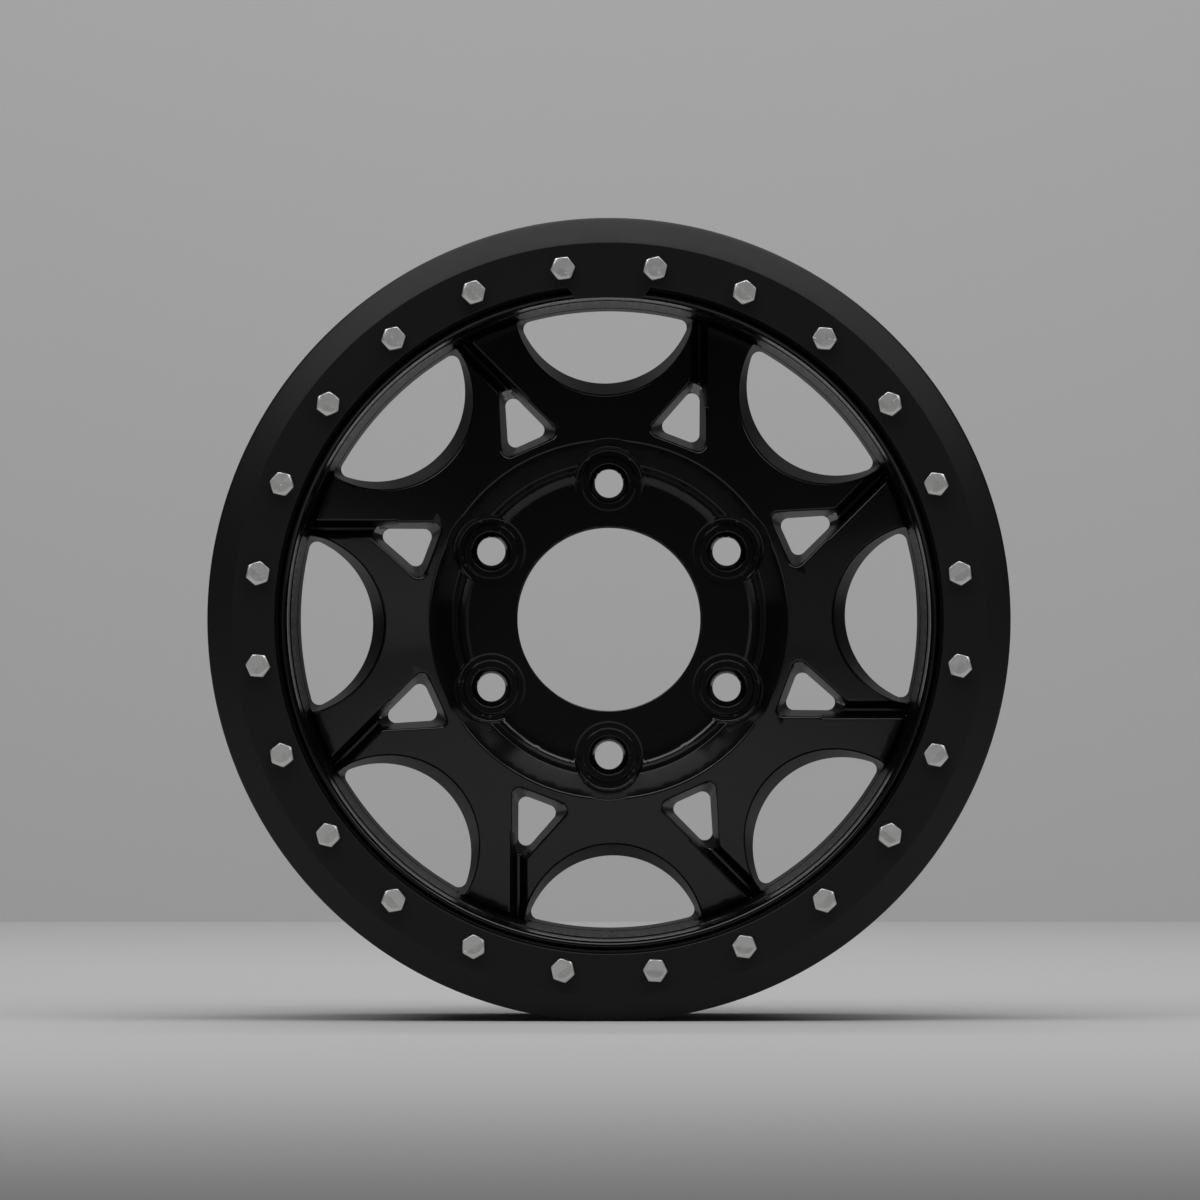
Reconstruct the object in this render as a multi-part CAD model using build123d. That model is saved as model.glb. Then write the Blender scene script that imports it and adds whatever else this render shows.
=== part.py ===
from build123d import *
import os
from math import cos, hypot, radians, sin, sqrt, tan

os.makedirs("parts", exist_ok=True)

# Off-road car wheel, one aluminium casting with a bolted bead-clamp ring on its outboard side.
# It spins about Y, its outboard side faces -Y, and Z is up.
# The origin is the centre of the hub mounting face, so every y below is measured from that face.
# Lengths are millimetres and angles are degrees.

# Rim, between the clamp ring and the inboard flange
rim_width = 177.8
rim_center_y = 25.0
bead_seat_radius = 190.1
bead_seat_width = 20.0
bead_seat_taper = 5.0
hump_height = 0.9
hump_half_width = 3.0
flange_height = 15.4
flange_thickness = 13.0
well_depth = 21.1
well_width = 66.0
well_center_y = 14.0
barrel_wall = 6.5

# Outboard end of the rim, which carries the tyre bead and the ring
clamp_shoulder_step = 2.6
clamp_face_width = 18.3
bead_gap = 16.0
bead_stop_drop = 3.0
bead_stop_thickness = 6.0
lip_width = 4.5
lip_height = 6.1
lip_chamfer = 2.4
lip_wall_taper = 0.95
lip_ledge_width = 0.85
lip_ledge_y = -42.5

# Hub, bored for the axle and drilled for six studs
bore_diameter = 94.0
pad_thickness = 20.0
pad_flat_radius = 72.0
pad_fillet_radius = 77.6
pad_fillet_height = 4.5
ledge_outer_radius = 80.7
ledge_step = 1.4
mounting_face_radius = 84.0
mounting_rim_width = 12.0
pocket_inner_radius = 59.0
pocket_outer_radius = 79.0
pocket_half_angle = 14.0
pocket_depth = 8.0
pocket_corner_radius = 4.0
lug_count = 6
lug_circle_diameter = 139.7
lug_hole_diameter = 14.5
lug_seat_diameter = 20.3
lug_seat_angle = 60.0
lug_boss_diameter = 28.0
lug_boss_height = 1.2
lug_relief_diameter = 35.0
lug_relief_draft = 5.0

# Spoke face, from the edge of the hub recess to the valley inside the lip
face_inner_radius = 91.7
face_inner_y = -43.5
face_lip_gap = 4.9
face_outer_y = -35.0
face_end_run = 0.3
valley_floor_y = -29.0
valley_floor_width = 0.5
rear_face_inner_y = -14.0
rear_face_outer_y = -4.0
rear_corner_drop = 4.0
rear_corner_width = 2.5

# Eight lens-shaped windows, sized at the parting plane, where their walls are narrowest
# Their inner wall is a cone that leans towards the hub as it comes forward
spoke_count = 8
parting_y = -15.0
wall_overshoot = 0.5
window_lean = -0.76
window_arc_radius = 46.3
window_arc_inset = 10.47
window_tilt = 10.87
window_draft = 2.75
window_end_margin = 1.3
window_outer_draft = 9.88
window_corner_radius = 4.2

# Eight triangular holes between the legs of each spoke
triangle_center_radius = 108.2
triangle_angle = 20.8
triangle_half_apex = 20.4
triangle_inradius = 8.15
triangle_corner_radius = 4.0
triangle_draft = 7.17

# Eight grooves that part the two legs of each spoke from the hole to the rim
groove_offset = 46.4
groove_width = 8.6
groove_floor_width = 2.6
groove_depth = 10.0

# Valve hole, inboard of the spokes
valve_hole_diameter = 11.5
valve_hole_y = 32.0

# Clamp ring
ring_thickness = 12.0
ring_lip_clearance = 1.8
ring_bevel_width = 12.8
ring_bevel_drop = 6.5
ring_edge_thickness = 3.0
ring_edge_chamfer = 0.8
ring_bore_chamfer = 0.6
ring_seat_overhang = 1.0
ring_hole_clearance = 0.45
tab_reach = 6.4
tab_root_half_width = 22.0
tab_tip_half_width = 16.9
tab_thickness = 5.0
tab_root_overlap = 1.0

# Ring hardware
bolt_count = 24
bolt_lip_distance = 11.8
bolt_diameter = 6.35
bolt_length = 32.0
head_across_flats = 11.1
head_height = 4.0
washer_diameter = 12.4
washer_thickness = 1.2
thread_clearance = 0.05
hole_run_out = 3.0
bolt_turns = (
    (45, 40, 5, -40, -52, -35)
    + (-45, -50, 38, -44, 8, 3)
    + (-42, -30, 50, -46, -38, -55)
    + (41, -47, 36, 48, 43, 52)
)

# How far a cut runs past the surface it opens
cut_overshoot = 1.0

# Radii that follow from the bead seat, inwards from the flange
flange_radius = bead_seat_radius + flange_height
bead_stop_radius = flange_radius - bead_stop_drop
well_radius = bead_seat_radius - well_depth
well_inner_radius = well_radius - barrel_wall
clamp_shoulder_radius = bead_seat_radius - clamp_shoulder_step
lip_outer_radius = clamp_shoulder_radius - clamp_face_width
lip_inner_radius = lip_outer_radius - lip_width
lip_ledge_radius = lip_inner_radius - lip_wall_taper
face_outer_radius = lip_inner_radius - face_lip_gap
valley_inner_radius = face_outer_radius + face_end_run
valley_outer_radius = valley_inner_radius + valley_floor_width
window_outer_radius = face_outer_radius - window_end_margin
window_arc_center_radius = window_outer_radius + window_arc_inset
ring_outer_radius = flange_radius
ring_bevel_radius = ring_outer_radius - ring_bevel_width
ring_inner_radius = lip_outer_radius + ring_lip_clearance
bolt_circle_radius = lip_outer_radius + bolt_lip_distance
ring_hole_diameter = bolt_diameter + ring_hole_clearance

# Axial stations that follow from the sizes above
clamp_face_y = rim_center_y - rim_width / 2
flange_face_y = rim_center_y + rim_width / 2
flange_back_y = flange_face_y + flange_thickness
lip_y = clamp_face_y - lip_height
bead_stop_y = clamp_face_y + bead_gap
bead_stop_back_y = bead_stop_y + bead_stop_thickness
pad_y = -pad_thickness
ring_front_y = clamp_face_y - ring_thickness
well_front_y = well_center_y - well_width / 2
well_back_y = well_center_y + well_width / 2
wall_front_y = face_inner_y - wall_overshoot
boss_y = pad_y - lug_boss_height
bolt_seat_y = ring_front_y - washer_thickness
bolt_tip_y = bolt_seat_y + bolt_length


def front_face_y(radius):
    """Height of the conical spoke face at a radius."""
    share = (radius - face_inner_radius) / (face_outer_radius - face_inner_radius)
    return face_inner_y + share * (face_outer_y - face_inner_y)


def wheel_plane(y):
    """Sketch plane across the axle, x to the right and y up as seen from outboard."""
    return Plane(origin=(0, y, 0), x_dir=(1, 0, 0), z_dir=(0, -1, 0))


def around(shape, count, start=0.0):
    """Copies of a shape turned about the axle."""
    return [shape.rotate(Axis.Y, start + index * 360 / count) for index in range(count)]


def revolved(outline):
    """Solid of revolution about the axle from an outline of (radius, y)."""
    return revolve(Plane.XY * make_face(outline), Axis.Y)


def wheel_body():
    """The casting before its windows and holes, turned from one section."""
    seat_drop = bead_seat_width * tan(radians(bead_seat_taper))
    seat_inner_y = flange_face_y - bead_seat_width
    seat_inner_radius = bead_seat_radius - seat_drop
    hump_y = seat_inner_y - hump_half_width
    ledge_inner_radius = lip_ledge_radius - lip_ledge_width
    fillet_y = pad_y - pad_fillet_height
    ledge_y = fillet_y - ledge_step
    outline = Polyline(
        (bore_diameter / 2, 0),
        (bore_diameter / 2, pad_y),
        (pad_flat_radius, pad_y),
        (pad_fillet_radius, fillet_y),
        (pad_fillet_radius, ledge_y),
        (ledge_outer_radius, ledge_y),
        (face_inner_radius, face_inner_y),
        (face_outer_radius, face_outer_y),
        (valley_inner_radius, valley_floor_y),
        (valley_outer_radius, valley_floor_y),
        (ledge_inner_radius, lip_ledge_y + lip_ledge_width),
        (lip_ledge_radius, lip_ledge_y),
        (lip_inner_radius, lip_y + lip_chamfer),
        (lip_inner_radius + lip_chamfer / 2, lip_y),
        (lip_outer_radius - lip_chamfer / 2, lip_y),
        (lip_outer_radius, lip_y + lip_chamfer),
        (lip_outer_radius, clamp_face_y),
        (clamp_shoulder_radius, clamp_face_y),
        (clamp_shoulder_radius, bead_stop_y),
        (bead_stop_radius, bead_stop_y),
        (bead_stop_radius, bead_stop_back_y),
        (well_radius, well_front_y),
        (well_radius, well_back_y),
        (seat_inner_radius, hump_y - hump_half_width),
        (seat_inner_radius + hump_height, hump_y),
        (seat_inner_radius, seat_inner_y),
        (bead_seat_radius, flange_face_y),
        (flange_radius, flange_face_y),
        (flange_radius, flange_back_y),
        (flange_radius - barrel_wall, flange_back_y),
        (seat_inner_radius - barrel_wall, hump_y),
        (well_inner_radius, well_back_y),
        (well_inner_radius, rear_face_outer_y),
        (well_inner_radius - rear_corner_width, rear_face_outer_y - rear_corner_drop),
        (mounting_face_radius + mounting_rim_width, rear_face_inner_y),
        (mounting_face_radius, 0),
        (bore_diameter / 2, 0),
    )
    return revolved(outline)


def with_straight_back(front):
    """Drafted cutter carried straight back to the mounting plane from its narrow end."""
    waist = front.faces().sort_by(Axis.Y)[-1]
    return front + extrude(waist, amount=-parting_y, dir=(0, 1, 0))


def slanted_edges(cutter):
    """Edges of a drafted cutter that run from its narrow end to its wide end."""
    depth = parting_y - wall_front_y
    return [edge for edge in cutter.edges() if edge.bounding_box().size.Y > depth / 2]


def window_cutter():
    """Drafted lens between two spokes, a leaning cone inside a cone about the axle."""
    depth = parting_y - wall_front_y
    overrun = depth / 2
    growth = tan(radians(window_draft))
    front_radius = window_arc_radius + (depth + overrun) * growth
    back_radius = window_arc_radius - overrun * growth
    inner = axial_cone(front_radius, back_radius, wall_front_y - overrun, parting_y + overrun)
    lean_in = Pos(0, parting_y, 0) * Rot(window_tilt, 0, 0) * Pos(0, -parting_y, 0)
    outer_front_radius = window_outer_radius + depth * tan(radians(window_outer_draft))
    outer = axial_cone(outer_front_radius, window_outer_radius, wall_front_y, parting_y)
    front = Pos(0, 0, window_arc_center_radius) * lean_in * inner & outer
    front = fillet(slanted_edges(front), window_corner_radius)
    return with_straight_back(front).rotate(Axis.Y, window_lean)


def triangle_corners(inradius, y):
    """Corners of the triangle about its inscribed circle at one height, apex first."""
    apex = inradius / sin(radians(triangle_half_apex))
    half_base = (apex + inradius) * tan(radians(triangle_half_apex))
    apex_z = triangle_center_radius + apex
    base_z = triangle_center_radius - inradius
    return [(0, y, apex_z), (-half_base, y, base_z), (half_base, y, base_z)]


def triangle_cutter():
    """Drafted triangle with its apex outward and its corners rounded."""
    spread = (parting_y - wall_front_y) * tan(radians(triangle_draft))
    waist = triangle_corners(triangle_inradius, parting_y)
    mouth = triangle_corners(triangle_inradius + spread, wall_front_y)
    faces = [Face(Wire.make_polygon(waist)), Face(Wire.make_polygon(mouth))]
    for index in range(3):
        following = (index + 1) % 3
        wall = [waist[index], waist[following], mouth[following], mouth[index]]
        faces.append(Face(Wire.make_polygon(wall)))
    front = Solid(Shell(faces))
    front = fillet(slanted_edges(front), triangle_corner_radius)
    return with_straight_back(front).rotate(Axis.Y, triangle_angle)


def groove_section(z):
    """Cross-section of the groove at a distance out along the window's axis."""
    floor_y = front_face_y(hypot(groove_offset, z)) + groove_depth
    top_y = floor_y - 2 * groove_depth
    floor_half = groove_floor_width / 2
    top_half = groove_width - floor_half
    outline = Polyline(
        (-floor_half, floor_y),
        (floor_half, floor_y),
        (top_half, top_y),
        (-top_half, top_y),
        (-floor_half, floor_y),
    )
    return Plane(origin=(groove_offset, 0, z), x_dir=(1, 0, 0), z_dir=(0, 0, 1)) * make_face(outline)


def groove_cutter():
    """Channel from the triangular hole out to the valley inside the lip."""
    start = triangle_center_radius * cos(radians(triangle_angle)) + triangle_inradius
    channel = loft([groove_section(start), groove_section(window_outer_radius)], ruled=True)
    return channel & axial_cylinder(valley_outer_radius, lip_y, 0)


def axial_cylinder(radius, y_front, y_back):
    """Cylinder along the axle between two heights."""
    return Pos(0, (y_front + y_back) / 2, 0) * Rot(90, 0, 0) * Cylinder(radius, y_back - y_front)


def axial_cone(front_radius, back_radius, y_front, y_back):
    """Cone along the axle between two heights."""
    height = y_back - y_front
    return Pos(0, (y_front + y_back) / 2, 0) * Rot(90, 0, 0) * Cone(back_radius, front_radius, height)


def lug_relief():
    """Socket clearance round one stud, cut into the wall of the hub recess."""
    reach = pad_y - face_inner_y
    back_radius = lug_relief_diameter / 2
    front_radius = back_radius + reach * tan(radians(lug_relief_draft))
    return axial_cone(front_radius, back_radius, face_inner_y, pad_y)


def lug_hole():
    """Stud hole with its conical nut seat."""
    hole = axial_cylinder(lug_hole_diameter / 2, boss_y - cut_overshoot, cut_overshoot)
    slope = tan(radians(lug_seat_angle / 2))
    seat_depth = (lug_seat_diameter - lug_hole_diameter) / 2 / slope
    mouth = lug_seat_diameter / 2 + slope * cut_overshoot
    seat = axial_cone(mouth, lug_hole_diameter / 2, boss_y - cut_overshoot, boss_y + seat_depth)
    return hole + seat


def hub_pocket():
    """Cored pocket in the mounting face between two studs."""
    annulus = Circle(pocket_outer_radius) - Circle(pocket_inner_radius)
    reach = pocket_outer_radius * 2
    left = (-reach * sin(radians(pocket_half_angle)), reach * cos(radians(pocket_half_angle)))
    wedge = make_face(Polyline((0, 0), left, (-left[0], left[1]), (0, 0)))
    shape = annulus & wedge
    shape = fillet(shape.vertices(), pocket_corner_radius)
    return extrude(wheel_plane(0) * shape, amount=pocket_depth)


def make_wheel():
    """The finished casting."""
    lug_circle = Pos(0, 0, lug_circle_diameter / 2)
    bolt_circle = Pos(0, 0, bolt_circle_radius)
    body = wheel_body()
    body -= around(window_cutter(), spoke_count)
    body -= around(triangle_cutter(), spoke_count)
    body -= around(groove_cutter(), spoke_count)
    body -= around(lug_circle * lug_relief(), lug_count)
    boss = axial_cylinder(lug_boss_diameter / 2, boss_y, pad_y + cut_overshoot)
    body += around(lug_circle * boss, lug_count)
    body -= around(lug_circle * lug_hole(), lug_count)
    body -= around(hub_pocket(), lug_count, 180 / lug_count)
    tapped_radius = bolt_diameter / 2 + thread_clearance
    tapped = axial_cylinder(tapped_radius, clamp_face_y, bolt_tip_y + hole_run_out)
    body -= around(bolt_circle * tapped, bolt_count, 180 / bolt_count)
    drill = Cylinder(valve_hole_diameter / 2, barrel_wall + 2 * cut_overshoot)
    return body - Pos(0, valve_hole_y, well_radius - barrel_wall / 2) * drill


def make_ring():
    """Clamp ring with its bolt holes and the bare tab at the top."""
    edge_y = ring_front_y + ring_bevel_drop
    edge_back_y = edge_y + ring_edge_thickness
    edge_radius = ring_outer_radius - ring_edge_chamfer
    outline = Polyline(
        (ring_inner_radius, clamp_face_y),
        (ring_inner_radius, ring_front_y + ring_bore_chamfer),
        (ring_inner_radius + ring_bore_chamfer, ring_front_y),
        (ring_bevel_radius, ring_front_y),
        (edge_radius, edge_y - ring_edge_chamfer / 2),
        (ring_outer_radius, edge_y + ring_edge_chamfer / 2),
        (ring_outer_radius, edge_back_y - ring_edge_chamfer),
        (edge_radius, edge_back_y),
        (clamp_shoulder_radius + ring_seat_overhang, clamp_face_y),
        (ring_inner_radius, clamp_face_y),
    )
    ring = revolved(outline)
    tip_radius = ring_inner_radius - tab_reach
    root_y = sqrt((ring_inner_radius + tab_root_overlap)**2 - tab_root_half_width**2)
    tip_y = sqrt(tip_radius**2 - tab_tip_half_width**2)
    with BuildLine() as line:
        Line((-tab_root_half_width, root_y), (-tab_tip_half_width, tip_y))
        ThreePointArc((-tab_tip_half_width, tip_y), (0, tip_radius), (tab_tip_half_width, tip_y))
        Line((tab_tip_half_width, tip_y), (tab_root_half_width, root_y))
        Line((tab_root_half_width, root_y), (-tab_root_half_width, root_y))
    tab = extrude(wheel_plane(ring_front_y + tab_thickness) * make_face(line.line), amount=tab_thickness)
    hole_front_y = ring_front_y - cut_overshoot
    hole = axial_cylinder(ring_hole_diameter / 2, hole_front_y, clamp_face_y + cut_overshoot)
    holes = around(Pos(0, 0, bolt_circle_radius) * hole, bolt_count, 180 / bolt_count)
    return ring + tab - holes


def make_bolt(turn):
    """Hex bolt at the centre of its own axis, with its head turned as it was tightened."""
    flats = RegularPolygon(head_across_flats / 2, 6, major_radius=False)
    head = extrude(wheel_plane(bolt_seat_y) * flats, amount=head_height)
    shank = axial_cylinder(bolt_diameter / 2, bolt_seat_y, bolt_tip_y)
    return (head + shank).rotate(Axis.Y, turn)


def make_washer():
    """Flat washer at the centre of its own axis."""
    outer = axial_cylinder(washer_diameter / 2, bolt_seat_y, ring_front_y)
    return outer - axial_cylinder(ring_hole_diameter / 2, bolt_seat_y, ring_front_y)


def bolt_angle(index):
    """Place of one bolt, clockwise from the top as seen from outboard."""
    return (index + 0.5) * 360 / bolt_count


def on_bolt_circle(shape, index):
    """One piece of ring hardware at its place on the bolt circle."""
    return (Pos(0, 0, bolt_circle_radius) * shape).rotate(Axis.Y, bolt_angle(index))


# Each head's turn is measured from level, so its place round the ring is taken off
bolts = []
washers = []
for index in range(bolt_count):
    turn = bolt_turns[index % len(bolt_turns)] - bolt_angle(index)
    bolts.append(on_bolt_circle(make_bolt(turn), index))
    washers.append(on_bolt_circle(make_washer(), index))

export_step(make_wheel(), "parts/wheel.step")
export_step(make_ring(), "parts/beadlock_ring.step")
export_step(Compound(children=bolts), "parts/ring_bolts.step")
export_step(Compound(children=washers), "parts/ring_washers.step")
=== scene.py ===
# Looks of an off-road car wheel with a bolted clamp ring, laid out as an add-on
import math

import bmesh
import bpy
import numpy as np
from bpy.props import FloatProperty, FloatVectorProperty, IntProperty, PointerProperty
from mathutils.geometry import delaunay_2d_cdt
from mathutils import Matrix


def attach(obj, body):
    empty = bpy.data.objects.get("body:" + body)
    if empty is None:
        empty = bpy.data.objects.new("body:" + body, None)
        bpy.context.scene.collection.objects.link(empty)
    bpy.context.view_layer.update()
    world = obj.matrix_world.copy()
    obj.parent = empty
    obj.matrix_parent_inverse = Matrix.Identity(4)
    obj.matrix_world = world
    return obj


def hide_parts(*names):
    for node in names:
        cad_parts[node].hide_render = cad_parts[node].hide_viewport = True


bl_info = {
    "name": "Car wheel looks",
    "version": (1, 0, 0),
    "blender": (4, 5, 0),
    "location": "3D View > Sidebar > Wheel",
    "description": "Builds the finished casting, clamp ring and hardware of a car wheel",
    "category": "Object",
}

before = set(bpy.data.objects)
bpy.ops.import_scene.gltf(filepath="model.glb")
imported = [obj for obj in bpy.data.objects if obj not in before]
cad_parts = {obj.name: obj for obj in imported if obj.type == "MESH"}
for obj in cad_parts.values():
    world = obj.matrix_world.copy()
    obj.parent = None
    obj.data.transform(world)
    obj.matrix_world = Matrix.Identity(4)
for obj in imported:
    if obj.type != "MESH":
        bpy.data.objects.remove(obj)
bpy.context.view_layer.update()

# The mesh is worked out in metres with u to the right, v up and height towards the viewer
MICRON = 1e-6
NORMAL_STEP = 4e-6
ROOT_STEPS = 34
RAY_SAMPLES = 240
FULL_TURN = 2 * math.pi

# Limits of the meshing, in metres, square metres and radians
BORDER_GAP = 0.00004
POINT_GAP = 0.00009
LINK_GAP = 0.00003
SURFACE_MISS = 0.00004
NORMAL_SWING = math.radians(5)
MISS_EDGE = 0.0005
SWING_EDGE = 0.0007
SMALLEST_EDGE = 0.00022
SMALLEST_AREA = 1e-13
MILLIMETRES = 1000
PLAN_SLACK = 3e-5
DRILL_SLACK = 1e-6
CROSSING = 1e-24

# Regions of the casting, where its patches meet, and the heights that are searched
SPOKE_FRONT, SPOKE_REAR, SPOKE_WALL, HUB_FRONT, HUB_REAR, HUB_WALL, BARREL, VALVE_WALL = range(8)
HUB_JOIN_RADIUS = 0.094
LIP_JOIN_RADIUS = 0.164
BARREL_JOIN_RADIUS = 0.162
HEIGHT_LOW, HEIGHT_HIGH = -0.02, 0.068
REAR_LOW, REAR_HIGH = -0.019, 0.006
STEEP_NORMAL = 0.3

# Regions of the ring and of a bolt, and the turn of each head in degrees
RING_FRONT, RING_BACK, RING_INNER, RING_HOLE, RING_EDGE, TAB_BACK = range(6)
HEAD_TOP, HEAD_SIDE, HEAD_BACK, SHANK = range(4)
BOLT_TURNS = (
    (45, 40, 5, -40, -52, -35)
    + (-45, -50, 38, -44, 8, 3)
    + (-42, -30, 50, -46, -38, -55)
    + (41, -47, 36, 48, 43, 52)
)


# Sizes and colours that a user may change in the sidebar
def length(name, description, default):
    """Size in metres that a user may change."""
    return FloatProperty(name=name, description=description, default=default, unit="LENGTH", precision=5)


def angle(name, description, degrees):
    """Angle that a user may change, given in degrees and kept in radians."""
    return FloatProperty(name=name, description=description, default=math.radians(degrees), subtype="ANGLE")


def colour(name, description, default):
    """Colour that a user may change."""
    return FloatVectorProperty(
        name=name, description=description, default=default, subtype="COLOR", size=3, min=0, max=1
    )


def factor(name, description, default):
    """Plain number from nought to one that a user may change."""
    return FloatProperty(name=name, description=description, default=default, min=0, max=1, subtype="FACTOR")


class HubSizes(bpy.types.PropertyGroup):
    """Hub recess, studs' holes and mounting face."""

    bore_radius: length("Bore radius", "Radius of the hub bore", 0.047)
    pad_height: length("Pad height", "Front of the hub pad from the mounting face", 0.020)
    pad_flat_radius: length("Pad radius", "Where the pad starts to curve forward", 0.072)
    pad_curve_radius: length("Pad curve radius", "Where the pad's curve ends", 0.0776)
    pad_curve_rise: length("Pad curve rise", "Rise of the pad's curve", 0.0045)
    ledge_radius: length("Ledge radius", "Outer radius of the ledge round the pad", 0.0807)
    ledge_rise: length("Ledge rise", "Rise from the pad's curve to the ledge", 0.0014)
    mounting_radius: length("Mounting radius", "Outer radius of the mounting face", 0.084)
    mounting_rim: length("Mounting rim", "Width of the slope round the mounting face", 0.012)
    stud_count: IntProperty(name="Studs", description="Number of stud holes", default=6, min=3, max=8)
    stud_circle_radius: length("Stud circle", "Radius of the stud circle", 0.06985)
    stud_hole_radius: length("Stud hole", "Radius of a stud hole", 0.00725)
    seat_radius: length("Nut seat", "Radius of the nut seat at its mouth", 0.01015)
    seat_angle: angle("Nut seat angle", "Full angle of the nut seat", 60)
    boss_radius: length("Boss radius", "Radius of the raised boss round a stud hole", 0.014)
    boss_rise: length("Boss rise", "Height of the boss above the pad", 0.0012)
    relief_radius: length("Relief radius", "Radius of the socket relief at the pad", 0.0175)
    relief_draft: angle("Relief draft", "Draft of the socket relief", 5)
    pocket_inner: length("Pocket inner radius", "Inner radius of a cored pocket", 0.059)
    pocket_outer: length("Pocket outer radius", "Outer radius of a cored pocket", 0.079)
    pocket_half_angle: angle("Pocket half angle", "Half the angle that a pocket takes", 14)
    pocket_depth: length("Pocket depth", "Depth of a cored pocket", 0.008)
    pocket_corner: length("Pocket corner", "Corner radius of a pocket", 0.004)


class SpokeSizes(bpy.types.PropertyGroup):
    """Spoke face with its windows, triangles and grooves."""

    spoke_count: IntProperty(name="Spokes", description="Number of spokes", default=8, min=3, max=12)
    face_inner_radius: length("Face inner radius", "Where the spoke face starts", 0.0917)
    face_inner_height: length("Face inner height", "Height of the face at its inner edge", 0.0435)
    face_outer_radius: length("Face outer radius", "Where the spokes end", 0.1598)
    face_outer_height: length("Face outer height", "Height of the face at its outer edge", 0.035)
    rear_inner_height: length("Rear inner height", "Height of the rear face at the hub", 0.014)
    rear_outer_height: length("Rear outer height", "Height of the rear face at the barrel", 0.004)
    rear_corner_drop: length("Rear corner drop", "Drop of the slope into the barrel", 0.004)
    rear_corner_width: length("Rear corner width", "Width of the slope into the barrel", 0.0025)
    parting_height: length("Parting height", "Where the walls of the holes are narrowest", 0.015)
    window_lean: angle("Window lean", "Turn of the window pattern about the axle", -0.76)
    window_outer_radius: length("Window outer radius", "Outer wall of a window at the parting height", 0.1585)
    window_arc_radius: length("Window arc radius", "Radius of a window's inner arc", 0.0463)
    window_arc_inset: length("Window arc inset", "Arc centre beyond the outer wall", 0.01047)
    window_tilt: angle("Window tilt", "Lean of the inner wall towards the hub", 10.87)
    window_draft: angle("Window draft", "Draft of the inner wall", 2.75)
    window_outer_draft: angle("Window outer draft", "Draft of the outer wall", 9.88)
    window_corner: length("Window corner", "Corner radius of a window", 0.0042)
    triangle_radius: length("Triangle radius", "Distance of a triangle's centre from the axle", 0.1082)
    triangle_angle: angle("Triangle angle", "Turn from the window's upright to the triangle", 20.8)
    triangle_half_apex: angle("Triangle half apex", "Half the angle at a triangle's apex", 20.4)
    triangle_inradius: length("Triangle inradius", "Inscribed radius at the parting height", 0.00815)
    triangle_corner: length("Triangle corner", "Corner radius of a triangle", 0.004)
    triangle_draft: angle("Triangle draft", "Draft of a triangle's walls", 7.17)
    groove_offset: length("Groove offset", "Distance of the groove from the window's upright", 0.0464)
    groove_half_floor: length("Groove floor", "Half the width of the groove's floor", 0.0013)
    groove_half_mouth: length("Groove mouth", "Half the width of the groove at the face", 0.0043)
    groove_depth: length("Groove depth", "Depth of the groove below the face", 0.010)
    mouth_round: length("Mouth rounding", "Rounding of the windows' and triangles' front edges", 0.0011)
    groove_round: length("Groove rounding", "Rounding of the groove's edges", 0.0009)
    end_round: length("Spoke end rounding", "Rounding of the spokes' outer ends", 0.0016)
    rear_round: length("Rear rounding", "Rounding of the rear edges", 0.0008)


class RimSizes(bpy.types.PropertyGroup):
    """Barrel, lip and flange."""

    valley_radius: length("Valley radius", "Middle of the valley between the spokes and the lip", 0.16035)
    valley_height: length("Valley height", "Height of the valley's floor", 0.029)
    lip_foot_radius: length("Lip foot radius", "Inner radius of the ledge at the lip's foot", 0.1629)
    lip_foot_height: length("Lip foot height", "Height of the ledge at the lip's foot", 0.0425)
    lip_ledge_radius: length("Lip ledge radius", "Outer radius of that ledge", 0.16375)
    lip_inner_radius: length("Lip inner radius", "Inner radius of the lip's top", 0.1647)
    lip_outer_radius: length("Lip outer radius", "Outer radius of the lip", 0.1692)
    lip_height: length("Lip height", "Height of the lip", 0.070)
    lip_round: length("Lip rounding", "Rounding of the lip's top", 0.0018)
    clamp_height: length("Clamp face height", "Height of the face that the ring is bolted to", 0.0639)
    shoulder_radius: length("Shoulder radius", "Outer radius of the clamp face", 0.1875)
    stop_height: length("Bead stop height", "Front of the bead stop", 0.0479)
    stop_back_height: length("Bead stop back", "Back of the bead stop", 0.0419)
    stop_radius: length("Bead stop radius", "Outer radius of the bead stop", 0.2025)
    well_radius: length("Well radius", "Outer radius of the drop well", 0.169)
    well_front_height: length("Well front", "Front end of the drop well", 0.019)
    well_back_height: length("Well back", "Back end of the drop well", -0.047)
    barrel_wall: length("Barrel wall", "Thickness of the barrel", 0.0065)
    seat_inner_radius: length("Seat inner radius", "Bead seat at its inner end", 0.18835)
    seat_radius: length("Seat radius", "Bead seat at the flange", 0.1901)
    seat_inner_height: length("Seat inner height", "Inner end of the bead seat", -0.0939)
    hump_height: length("Hump height", "Height of the safety hump", 0.0009)
    hump_half_width: length("Hump half width", "Half the width of the safety hump", 0.003)
    flange_radius: length("Flange radius", "Outer radius of the inboard flange", 0.2055)
    flange_face: length("Flange face", "Front of the inboard flange", -0.1139)
    flange_back: length("Flange back", "Back of the inboard flange", -0.1269)
    valve_hole_radius: length("Valve hole", "Radius of the valve hole", 0.00575)
    valve_hole_height: length("Valve hole height", "Height of the valve hole", -0.032)
    column_count: IntProperty(name="Columns", description="Divisions of the full turn", default=240)


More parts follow.
